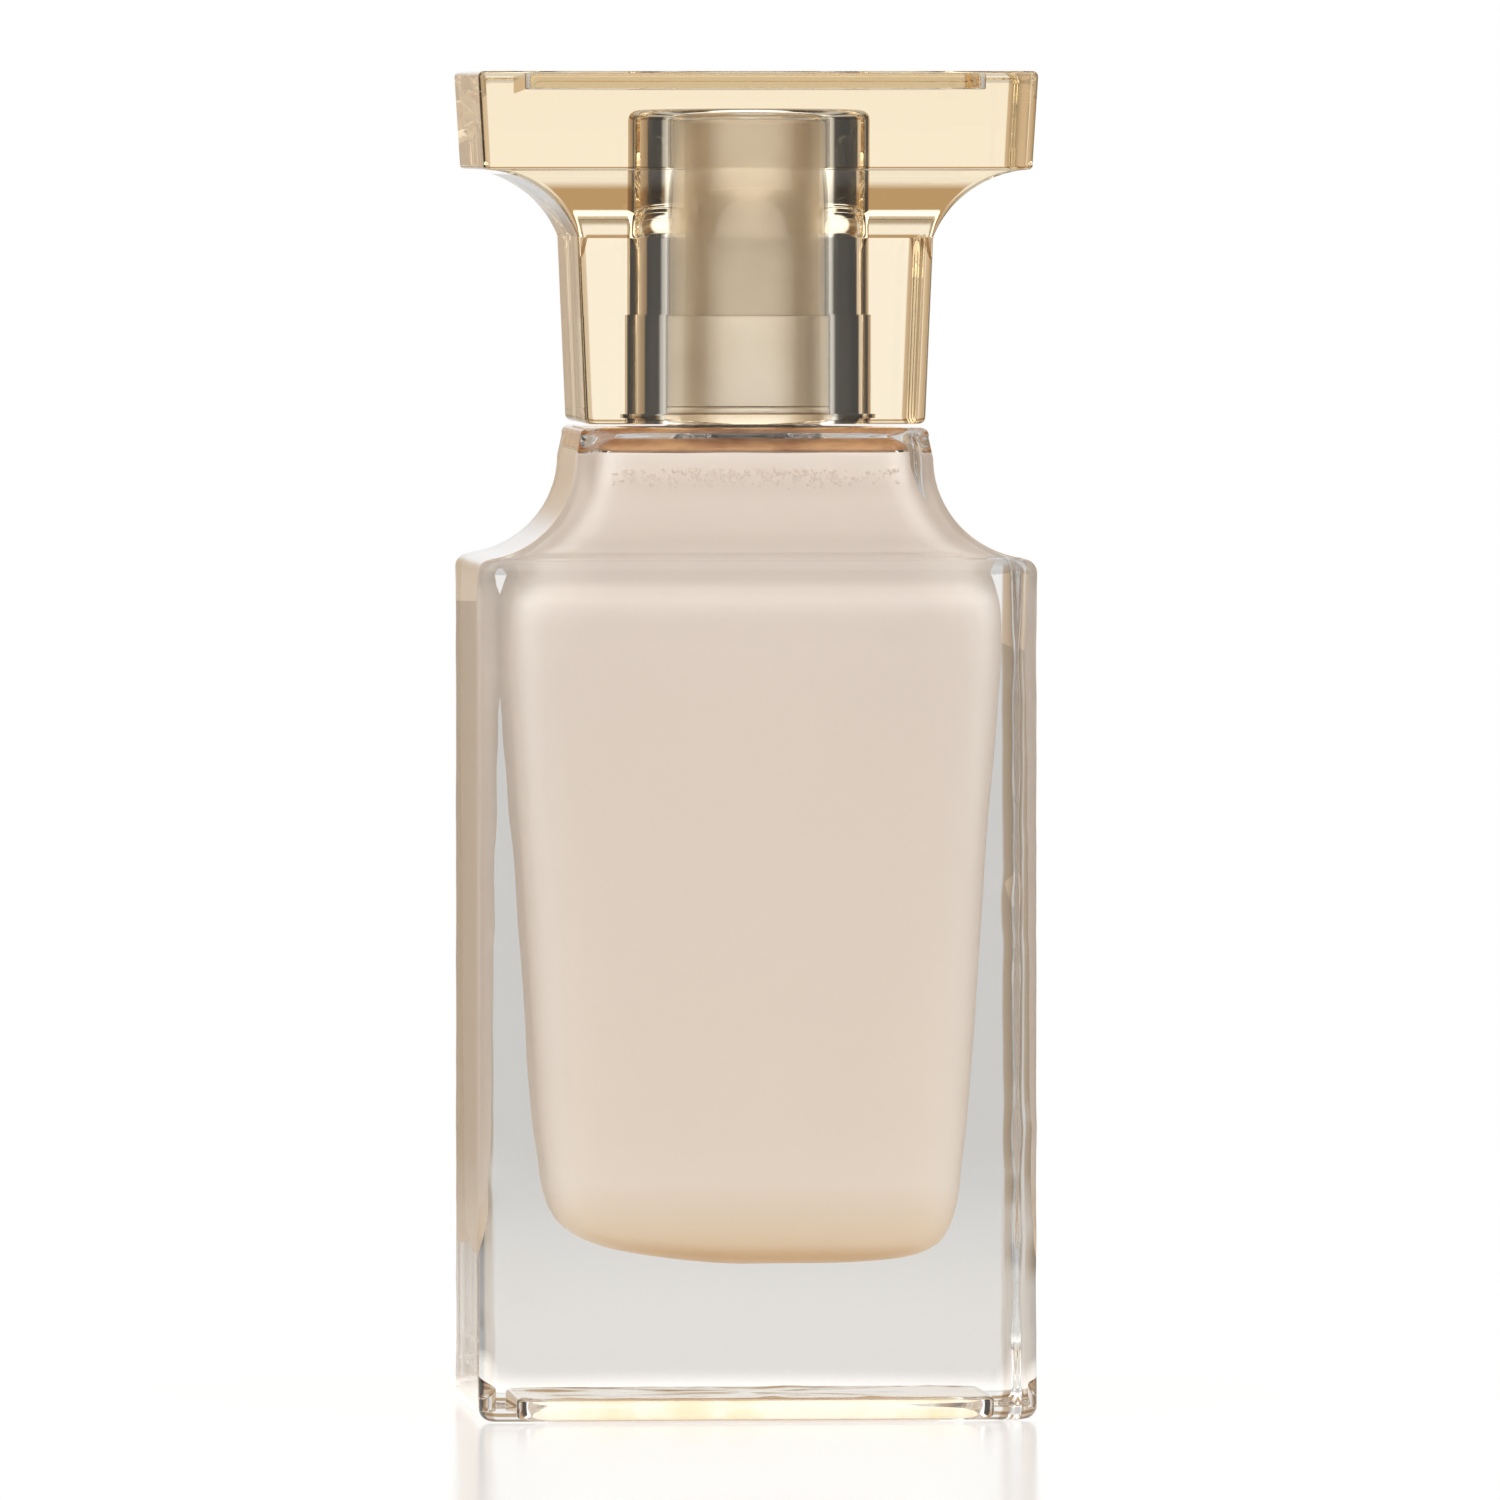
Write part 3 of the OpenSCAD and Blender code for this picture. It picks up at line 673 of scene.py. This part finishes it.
def coilTree():
    # a wire that follows a spiral
    tree, given, out, ids = nodeTree("wireCoil", [
        ("Turns", "NodeSocketFloat", 6.0), ("Coil Radius", "NodeSocketFloat", 0.002),
        ("Wire Radius", "NodeSocketFloat", 0.0003), ("Height", "NodeSocketFloat", 0.008),
        ("Foot", "NodeSocketFloat", 0.0), ("Sides", "NodeSocketInt", 12),
        ("Resolution", "NodeSocketInt", 48), ("Squash", "NodeSocketFloat", 1.0)])
    spiral = addNode(tree, "GeometryNodeCurveSpiral", {
        "Resolution": given.outputs["Resolution"], "Rotations": given.outputs["Turns"],
        "Start Radius": given.outputs["Coil Radius"], "End Radius": given.outputs["Coil Radius"],
        "Height": given.outputs["Height"]})
    spot = addNode(tree, "ShaderNodeCombineXYZ", {"Z": given.outputs["Foot"]})
    place = addNode(tree, "GeometryNodeTransform",
        {"Geometry": spiral.outputs["Curve"], "Translation": spot.outputs["Vector"]})
    ring = addNode(tree, "GeometryNodeCurvePrimitiveCircle", {
        "Resolution": given.outputs["Sides"], "Radius": given.outputs["Wire Radius"]})
    flat = addNode(tree, "ShaderNodeCombineXYZ", {"X": given.outputs["Squash"], "Y": 1.0, "Z": 1.0})
    section = addNode(tree, "GeometryNodeTransform",
        {"Geometry": ring.outputs["Curve"], "Scale": flat.outputs["Vector"]})
    wire = addNode(tree, "GeometryNodeCurveToMesh", {
        "Curve": place.outputs["Geometry"], "Profile Curve": section.outputs["Geometry"],
        "Fill Caps": True})
    soft = addNode(tree, "GeometryNodeSetShadeSmooth", {"Geometry": wire.outputs["Mesh"]})
    real = addNode(tree, "GeometryNodeRealizeInstances", {"Geometry": soft.outputs["Geometry"]})
    paint = addNode(tree, "GeometryNodeSetMaterial",
        {"Geometry": real.outputs["Geometry"], "Material": steel})
    tree.links.new(paint.outputs["Geometry"], out.inputs["Geometry"])
    return tree, ids


coil, coilIds = coilTree()
springLow, springHigh = box("return_spring")
spring = {"turns": 6.0, "wire": 0.28}
springCoil = bakeTree("returnSpring", bpy.data.meshes.new("empty"), coil, coilIds, {
    "Turns": spring["turns"], "Coil Radius": mm((springHigh[0] - springLow[0]) / 2 - spring["wire"]),
    "Wire Radius": mm(spring["wire"]), "Height": mm(springHigh[2] - springLow[2] - 2 * spring["wire"]),
    "Foot": mm(springLow[2] + spring["wire"])}, steel)
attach(springCoil, "pump")
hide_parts("return_spring")
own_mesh(springCoil)

thread = {"turns": 1.5, "radius": 6.72, "rib": 0.5, "rise": 4.5, "foot": 89.2}
threadRib = bakeTree("neckThread", bpy.data.meshes.new("empty"), coil, coilIds, {
    "Turns": thread["turns"], "Coil Radius": mm(thread["radius"]), "Wire Radius": mm(thread["rib"]),
    "Height": mm(thread["rise"]), "Foot": mm(thread["foot"]), "Sides": 16, "Resolution": 64}, flint)
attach(threadRib, "bottle")
print("spring and thread made")


def bubbleTree():
    # small bubbles held against the glass at the top of the cream
    tree, given, out, ids = nodeTree("bubbleBand", [
        ("Width", "NodeSocketFloat", 0.026), ("Height", "NodeSocketFloat", 0.0016),
        ("Depth", "NodeSocketFloat", -0.0104), ("Level", "NodeSocketFloat", 0.081),
        ("Density", "NodeSocketFloat", 5e6), ("Seed", "NodeSocketInt", 3),
        ("Smallest", "NodeSocketFloat", 0.0001), ("Largest", "NodeSocketFloat", 0.0003)])
    sheet = addNode(tree, "GeometryNodeMeshGrid", {
        "Size X": given.outputs["Width"], "Size Y": given.outputs["Height"], "Vertices X": 2,
        "Vertices Y": 2})
    spot = addNode(tree, "ShaderNodeCombineXYZ", {"Y": given.outputs["Depth"], "Z": given.outputs["Level"]})
    upright = addNode(tree, "GeometryNodeTransform", {
        "Geometry": sheet.outputs["Mesh"], "Translation": spot.outputs["Vector"],
        "Rotation": (math.pi / 2, 0, 0)})
    points = addNode(tree, "GeometryNodeDistributePointsOnFaces", {
        "Mesh": upright.outputs["Geometry"], "Density": given.outputs["Density"],
        "Seed": given.outputs["Seed"]})
    size = addNode(tree, "FunctionNodeRandomValue", {
        2: given.outputs["Smallest"], 3: given.outputs["Largest"], 8: given.outputs["Seed"]},
        data_type="FLOAT")
    ball = addNode(tree, "GeometryNodeMeshIcoSphere", {"Radius": 1.0, "Subdivisions": 2})
    spread = addNode(tree, "GeometryNodeInstanceOnPoints", {
        "Points": points.outputs["Points"], "Instance": ball.outputs["Mesh"], "Scale": size.outputs[1]})
    real = addNode(tree, "GeometryNodeRealizeInstances", {"Geometry": spread.outputs["Instances"]})
    soft = addNode(tree, "GeometryNodeSetShadeSmooth", {"Geometry": real.outputs["Geometry"]})
    paint = addNode(tree, "GeometryNodeSetMaterial",
        {"Geometry": soft.outputs["Geometry"], "Material": foundation})
    tree.links.new(paint.outputs["Geometry"], out.inputs["Geometry"])
    return tree, ids


bubbles = {
    "width": 25.0, "height": 1.8, "depth": -10.5, "level": 81.2, "perSquare": 6.0, "small": 0.08,
    "large": 0.26,
    "seed": 11,
}
band, bandIds = bubbleTree()
foundationBubbles = bakeTree("foundationBubbles", bpy.data.meshes.new("empty"), band, bandIds, {
    "Width": mm(bubbles["width"]), "Height": mm(bubbles["height"]), "Depth": mm(bubbles["depth"]),
    "Level": mm(bubbles["level"]), "Density": bubbles["perSquare"] * 1e6,
    "Seed": bubbles["seed"],
    "Smallest": mm(bubbles["small"]), "Largest": mm(bubbles["large"])}, foundation)
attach(foundationBubbles, "bottle")
print("bubbles made")

# metal sleeves

actuatorLow, actuatorHigh = box("actuator_shell")
collarLow, collarHigh = box("collar_shell")
sleeve = {
    "outer": actuatorHigh[0], "wall": 0.4, "edge": 0.5, "footEdge": 0.06, "foot": actuatorLow[2],
    "top": actuatorHigh[2],
}
actuatorSleeve = lathe("actuatorSleeve", [
    (sleeve["outer"] - sleeve["wall"], sleeve["foot"]),
    (sleeve["outer"] - sleeve["footEdge"], sleeve["foot"]),
    (sleeve["outer"], sleeve["foot"] + sleeve["footEdge"]),
    *arc(sleeve["outer"] - sleeve["edge"], sleeve["top"] - sleeve["edge"], sleeve["edge"], 0, 90, 10),
    (0, sleeve["top"]), (0, sleeve["top"] - sleeve["wall"]),
    (sleeve["outer"] - sleeve["wall"], sleeve["top"] - sleeve["wall"]),
], champagne)
nozzleLow, nozzleHigh = box("nozzle_insert")
nozzleZ = (nozzleLow[2] + nozzleHigh[2]) / 2
hole = {"start": 7, "radius": 1.6, "length": 5}


def cutHole(obj, centre, radius, length):
    # a round hole along Y, through one wall
    cutter = lathe("cutter", [(0, 0), (radius, 0), (radius, length), (0, length)], champagne, 64, axis="Y",
        centre=centre)
    modifier = obj.modifiers.new("hole", "BOOLEAN")
    modifier.object, modifier.operation, modifier.solver = cutter, "DIFFERENCE", "EXACT"
    depsgraph = bpy.context.evaluated_depsgraph_get()
    mesh = bpy.data.meshes.new_from_object(obj.evaluated_get(depsgraph))
    obj.modifiers.clear()
    obj.data = mesh
    mesh.set_sharp_from_angle(angle=math.radians(40))
    bpy.data.objects.remove(cutter)


cutHole(actuatorSleeve, (0, hole["start"], nozzleZ), hole["radius"], hole["length"])
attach(actuatorSleeve, "actuator")
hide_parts("actuator_shell")

# the nozzle's rim and the dish round its hole: radius and depth under the rim
nozzleRim = [(1.5, 0.15), (1.44, 0.05), (1.3, 0), (0.9, 0), (0.75, 0.12), (0.55, 0.3), (0.5, 0.5)]
nozzle = lathe("nozzle", [
    (nozzleRim[-1][0], nozzleLow[1]), (nozzleRim[0][0], nozzleLow[1]),
    *[(r, nozzleHigh[1] - depth) for r, depth in nozzleRim],
], creamPlastic, 96, axis="Y", centre=(0, 0, nozzleZ))
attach(nozzle, "actuator")
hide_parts("nozzle_insert")

collar = {
    "outer": 10.4, "wall": 0.3, "bead": 0.4, "beadTop": 0.86, "foot": collarLow[2], "top": collarHigh[2],
}
collarSleeve = lathe("collarSleeve", [
    (collar["outer"] - collar["wall"], collar["foot"]),
    *arc(collarHigh[0] - collar["bead"], collar["foot"] + collar["bead"], collar["bead"], -80, 75, 12),
    (collar["outer"] + 0.02, collar["foot"] + collar["beadTop"]), (collar["outer"], collar["foot"] + 1.0),
    (collar["outer"], collar["top"] - 0.12), (collar["outer"] - 0.03, collar["top"] - 0.03),
    (collar["outer"] - 0.1, collar["top"]), (collar["outer"] - collar["wall"], collar["top"]),
], paleChampagne)
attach(collarSleeve, "collar")
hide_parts("collar_shell")
print("sleeves made")

# overcap

capLow, capHigh = box("overcap")
plateLow, plateHigh = box("cap_top_plate")
ringLow, ringHigh = box("cap_retaining_ring")
cap = {
    "halfX": capHigh[0], "halfY": capHigh[1], "foot": capLow[2], "top": capHigh[2],
    "plateHeight": 8.5, "flareRadius": 9.1, "flareStart": 21.3, "flareEnd": 84.0,
    "blockHalfY": 13.1, "frontLean": 1.75, "frontHook": 1.0, "draftX": 0.65, "draftY": 0.4, "edge": 0.7,
    "footEdge": 0.6, "plateEdge": 0.35, "topEdge": 0.5, "plateDraftX": 0.45, "plateDraftY": 0.4,
    "bore": 10.5, "boreEdge": 0.9, "mouth": 10.7, "seat": 11.1, "boreTop": 113.4, "step": 95.5,
    "pocket": 1.5, "pocketGap": 0.15, "pocketCorner": 1.0,
}


def capOuter(c):
    plateZ = c["top"] - c["plateHeight"]
    footEdge, plateEdge, topEdge = c["footEdge"], c["plateEdge"], c["topEdge"]
    cx, cz = c["halfX"] - 0.3, plateZ - c["flareRadius"]
    blockX = cx - c["flareRadius"] * math.cos(math.radians(c["flareStart"]))
    rows = []
    for i in range(7):
        a = math.radians(90 * i / 6)
        inset = footEdge * (1 - math.sin(a))
        rows.append((c["foot"] + footEdge * (1 - math.cos(a)), blockX - c["draftX"] - inset,
            c["blockHalfY"] - c["draftY"] - inset, 0.9 - 0.5 * inset))
    zLow, zHigh = c["foot"] + footEdge, cz + c["flareRadius"] * math.sin(math.radians(c["flareStart"]))
    for t in (0.01, 0.25, 0.5, 0.75, 0.992):
        rows.append((zLow + (zHigh - zLow) * t, blockX - c["draftX"] * (1 - t),
            c["blockHalfY"] - c["draftY"] * (1 - t), 0.85))
    reach = c["flareRadius"] * math.cos(math.radians(c["flareStart"]))
    sineLow, sineHigh = math.sin(math.radians(c["flareStart"])), math.sin(math.radians(c["flareEnd"]))
    for i in range(27):
        e = math.radians(c["flareStart"] + (c["flareEnd"] - c["flareStart"]) * i / 26)
        out = reach - c["flareRadius"] * math.cos(e)
        rise = (math.sin(e) - sineLow) / (sineHigh - sineLow)
        front = c["blockHalfY"] + c["frontLean"] * rise + c["frontHook"] * rise ** 3
        rows.append((cz + c["flareRadius"] * math.sin(e), blockX + out, front, c["edge"]))
    for i in range(1, 6):
        a = math.radians(90 * i / 5)
        rows.append((plateZ + plateEdge * (1 - math.cos(a)), c["halfX"] - 0.8 + plateEdge * math.sin(a),
            c["halfY"] - 0.65 + 0.25 * math.sin(a), 0.7))
    for t in (0.02, 0.3, 0.6, 0.985):
        z0, z1 = plateZ + plateEdge, c["top"] - topEdge
        rows.append((z0 + (z1 - z0) * t, c["halfX"] - c["plateDraftX"] * (1 - t),
            c["halfY"] - c["plateDraftY"] * (1 - t), 0.8))
    for i in range(7):
        a = math.radians(90 * i / 6)
        inset = topEdge * (1 - math.cos(a))
        rows.append((c["top"] - topEdge * (1 - math.sin(a)), c["halfX"] - inset, c["halfY"] - inset,
            0.8 - inset))
    return rows


def buildCap(c):
    px, py = plateHigh[0] + c["pocketGap"], plateHigh[1] + c["pocketGap"]
    boreEdge = c["boreEdge"]
    rings = [roundRing(c["boreTop"], 3.0), roundRing(c["boreTop"], 7.0)]
    rings += [roundRing(z, r)
        for r, z in arc(c["bore"] - boreEdge, c["boreTop"] - boreEdge, boreEdge, 90, 0, 8)]
    rings += [roundRing(c["boreTop"] - 1.2 - (c["boreTop"] - 1.4 - c["step"]) * i / 8, c["bore"])
        for i in range(9)]
    rings += [roundRing(c["step"], c["bore"]), roundRing(c["step"], c["mouth"])]
    rings += [roundRing(c["step"] - 0.1 - (c["step"] - 0.2 - ringHigh[2]) * i / 4, c["mouth"])
        for i in range(5)]
    rings += [roundRing(ringHigh[2] + 0.05, c["mouth"]), roundRing(ringHigh[2] + 0.05, c["seat"])]
    rings += [roundRing(c["foot"] + 0.15, c["seat"]), roundRing(c["foot"] + 0.02, c["seat"] + 0.1),
        roundRing(c["foot"], c["seat"] + 0.3)]
    rings += [rectRing(*row) for row in capOuter(c)]
    pocketZ, corner = c["top"] - c["pocket"], c["pocketCorner"]
    rings += [rectRing(z, px + out, py + out, corner) for z, out in (
        (c["top"], 0.3), (c["top"] - 0.03, 0.08), (c["top"] - 0.15, 0), (pocketZ + 0.15, 0),
        (pocketZ + 0.03, -0.06), (pocketZ, -0.2))]
    rings += [rectRing(pocketZ, px * 0.6, py * 0.6, corner)]
    return skinRings("overcapShell", rings, acrylic, sharp=50)


overcapShell = buildCap(cap)
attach(overcapShell, "cap")
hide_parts("overcap")


plate = {"corner": 0.85, "edge": 0.12, "steps": 4}


def bevelSlab(name, low, high, look, material):
    corner, edge, steps = look["corner"], look["edge"], look["steps"]
    cx, cy = (high[0] - low[0]) / 2, (high[1] - low[1]) / 2
    rings = []
    for i in range(steps + 1):
        a = math.radians(90 * i / steps)
        inset = edge * (1 - math.sin(a))
        rings.append(rectRing(low[2] + edge * (1 - math.cos(a)), cx - inset, cy - inset, corner - inset))
    for i in range(steps + 1):
        a = math.radians(90 * i / steps)
        inset = edge * (1 - math.cos(a))
        rings.append(rectRing(high[2] - edge * (1 - math.sin(a)), cx - inset, cy - inset, corner - inset))
    rings.insert(0, rectRing(low[2], cx - edge - 0.3, cy - edge - 0.3, corner - edge))
    rings.append(rectRing(high[2], cx - edge - 0.3, cy - edge - 0.3, corner - edge))
    return skinRings(name, rings, material)


topPlate = bevelSlab("capTopPlate", plateLow, plateHigh, plate, deepAcrylic)
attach(topPlate, "cap")
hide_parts("cap_top_plate")

ring = {"inner": 10.78, "bulge": 0.2, "bulgeHeight": 0.35, "edge": 0.05}


def ringProfile(r):
    middle, outer = (ringLow[2] + ringHigh[2]) / 2, ringHigh[0]
    bulge = [(r["inner"] - r["bulge"] * math.cos(a), middle + r["bulgeHeight"] * math.sin(a))
        for a in (math.radians(degrees) for degrees in range(-60, 61, 15))]
    return [
        (outer, ringLow[2] + r["edge"]), (outer - r["edge"], ringLow[2]), (r["inner"], ringLow[2]), *bulge,
        (r["inner"], ringHigh[2]), (outer - r["edge"], ringHigh[2]), (outer, ringHigh[2] - r["edge"])]


retainingRing = lathe("capRetainingRing", ringProfile(ring), silverGold)
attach(retainingRing, "cap")
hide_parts("cap_retaining_ring")
print("overcap made")

# the CAD's own pieces that stay, with their materials

for node, material in {
    "neck_gasket": gasketFoam, "pump_housing": whitePlastic, "inlet_ball": steel,
    "pump_piston": whitePlastic, "pump_stem": whitePlastic, "outlet_ball": steel,
    "stem_guide": whitePlastic, "dip_tube": tubePlastic, "threaded_closure": whitePlastic,
    "actuator_insert": creamPlastic,
}.items():
    slots = cadNodes[node].data.materials
    slots.clear()
    slots.append(material)

# stage, light and camera

# the studio's walls, by turn round the object: 0.25 is the camera's side, 0.75 is behind, 0.5 is +X
warmGrey, warmPale, warmDim = (0.67, 0.53, 0.385), (0.7, 0.61, 0.5), (0.3, 0.21, 0.12)
wall = [
    (0.0, 0.6), (0.06, 0.9), (0.13, 1.1), (0.22, 0.9), (0.28, 0.9), (0.37, 1.1), (0.44, 0.9), (0.475, 0.6),
    (0.49, 0.05), (0.655, 0.04), (0.67, warmGrey), (0.715, warmPale), (0.723, 1.0), (0.752, 1.0),
    (0.759, warmGrey), (0.878, warmDim), (0.89, 0.05), (0.975, 0.05), (0.99, 0.5),
]
# how bright the walls are, by the sine of the height they are seen at, behind and in front of the object
honeyBand, duskBand = (0.5, 0.34, 0.18), (0.3, 0.23, 0.15)
behindTone = [
    (0.0, 1.0), (0.12, 1.0), (0.15, honeyBand), (0.29, honeyBand), (0.33, 0.95), (0.46, 0.95),
    (0.52, duskBand),
]
frontTone = [(0.0, 1.0), (0.2, 1.0), (0.36, 2.0), (0.9, 2.0)]
studioLook = {"top": 1.7, "topFrom": 0.82, "topTo": 0.92, "split": 0.05}
stageLook = {
    "radius": 3.0, "segments": 96, "fadeStart": 0.12, "fadeEnd": 0.5, "card": 0.22, "roughness": 0.18,
    "specular": 0.08, "underStart": 0.03, "underEnd": 0.075, "glowUnder": 0.95, "glowSeen": 0.49,
    "glowBounced": 0.31, "farSeen": 1.0, "farBounced": 0.7,
}


def toneRamp(tree, factor, stops):
    return ramp(tree, factor,
        [(place, (*v, 1) if isinstance(v, tuple) else (v, v, v, 1)) for place, v in stops])


def whiteFloor():
    # a white table that glows: even under the bottle for the camera, with a painted glow strongest right
    # under the bottle that lights it from below, and further off as light and as dark as the walls
    material, tree, coords, output = newMaterial("whiteFloor")
    distance = addNode(tree, "ShaderNodeVectorMath", {0: coords}, operation="LENGTH").outputs["Value"]
    fade = addNode(tree, "ShaderNodeMapRange", {
        "Value": distance, "From Min": stageLook["fadeStart"], "From Max": stageLook["fadeEnd"]},
        interpolation_type="SMOOTHSTEP")
    path = addNode(tree, "ShaderNodeLightPath").outputs["Is Camera Ray"]
    # painted light: for bounced rays the floor glows brightest right under the bottle, a pool of light that
    # lights its base
    under = addNode(tree, "ShaderNodeMapRange", {
        "Value": distance, "From Min": stageLook["underStart"], "From Max": stageLook["underEnd"],
        "To Min": stageLook["glowUnder"], "To Max": stageLook["glowBounced"]},
        interpolation_type="SMOOTHSTEP")
    near = addNode(tree, "ShaderNodeMapRange", {
        "Value": path, "To Min": under.outputs["Result"], "To Max": stageLook["glowSeen"]})
    card = addNode(tree, "ShaderNodeBsdfPrincipled", {
        "Base Color": (stageLook["card"],) * 3 + (1,), "Roughness": stageLook["roughness"],
        "Specular IOR Level": stageLook["specular"], "Emission Color": (1, 1, 0.995, 1),
        "Emission Strength": near.outputs["Result"]})
    turn = addNode(tree, "ShaderNodeTexGradient", {"Vector": coords}, gradient_type="RADIAL")
    shade = addNode(tree, "ShaderNodeMixRGB", {
        0: path, 1: toneRamp(tree, turn.outputs["Fac"], wall), 2: (1, 1, 1, 1)})
    far = addNode(tree, "ShaderNodeMapRange", {
        "Value": path, "To Min": stageLook["farBounced"], "To Max": stageLook["farSeen"]})
    glow = addNode(tree, "ShaderNodeEmission",
        {"Color": shade.outputs["Color"], "Strength": far.outputs["Result"]})
    mixed = addNode(tree, "ShaderNodeMixShader",
        {0: fade.outputs["Result"], 1: card.outputs["BSDF"], 2: glow.outputs["Emission"]})
    tree.links.new(mixed.outputs["Shader"], output.inputs["Surface"])
    return material


floorMesh = bmesh.new()
bmesh.ops.create_circle(floorMesh, cap_ends=True, segments=stageLook["segments"],
    radius=stageLook["radius"])
floor = finishMesh("studioFloor", floorMesh, whiteFloor(), smooth=False)


def studioWorld():
    world = bpy.data.worlds.new("studio")
    bpy.context.scene.world = world
    world.use_nodes = True
    tree = world.node_tree
    tree.nodes.clear()
    coords = addNode(tree, "ShaderNodeTexCoord").outputs["Generated"]
    turn = addNode(tree, "ShaderNodeTexGradient", {"Vector": coords}, gradient_type="RADIAL")
    split = addNode(tree, "ShaderNodeSeparateXYZ", {"Vector": coords})
    behind = addNode(tree, "ShaderNodeMapRange",
        {"Value": split.outputs["Y"], "From Min": -studioLook["split"], "From Max": studioLook["split"]})
    toTop = addNode(tree, "ShaderNodeMapRange", {
        "Value": split.outputs["Z"], "From Min": studioLook["topFrom"], "From Max": studioLook["topTo"]},
        interpolation_type="SMOOTHSTEP")
    tone = addNode(tree, "ShaderNodeMixRGB", {
        0: behind.outputs["Result"], 1: toneRamp(tree, split.outputs["Z"], frontTone),
        2: toneRamp(tree, split.outputs["Z"], behindTone)})
    walls = addNode(tree, "ShaderNodeMixRGB", {
        0: 1.0, 1: toneRamp(tree, turn.outputs["Fac"], wall), 2: tone.outputs["Color"]},
        blend_type="MULTIPLY")
    room = addNode(tree, "ShaderNodeMixRGB", {
        0: toTop.outputs["Result"], 1: walls.outputs["Color"], 2: (studioLook["top"],) * 3 + (1,)})
    studio = addNode(tree, "ShaderNodeBackground", {"Color": room.outputs["Color"], "Strength": 1.0})
    backdrop = addNode(tree, "ShaderNodeBackground", {"Color": (1, 1, 1, 1), "Strength": 1.0})
    path = addNode(tree, "ShaderNodeLightPath")
    both = addNode(tree, "ShaderNodeMixShader", {
        0: path.outputs["Is Camera Ray"], 1: studio.outputs["Background"],
        2: backdrop.outputs["Background"]})
    output = addNode(tree, "ShaderNodeOutputWorld")
    tree.links.new(both.outputs["Shader"], output.inputs["Surface"])


studioWorld()

view = {
    "turn": -4.5, "distance": 1.85, "height": 0.114, "aimX": 0.00051, "aimZ": 0.0575, "lens": 510.8,
    "sensor": 36.0, "nearest": 0.05, "farthest": 20.0,
}
cameraData = bpy.data.cameras.new("productCamera")
cameraData.lens, cameraData.sensor_width = view["lens"], view["sensor"]
cameraData.clip_start, cameraData.clip_end = view["nearest"], view["farthest"]
camera = bpy.data.objects.new("productCamera", cameraData)
bpy.context.scene.collection.objects.link(camera)
turn = math.radians(view["turn"])
camera.location = (view["distance"] * math.sin(turn), -view["distance"] * math.cos(turn), view["height"])
aim = Vector((view["aimX"], 0.0, view["aimZ"]))
camera.rotation_euler = (aim - camera.location).to_track_quat("-Z", "Y").to_euler()
bpy.context.scene.camera = camera

scene = bpy.context.scene
scene.view_settings.view_transform = "Standard"
# light goes through many glass faces before it leaves the bottle, and none of it is blurred away
bounces = {"max_bounces": 32, "transmission_bounces": 32, "glossy_bounces": 24, "diffuse_bounces": 12}
for kind, count in bounces.items():
    setattr(scene.cycles, kind, count)
scene.cycles.blur_glossy = 0.0
print("stage and camera made")
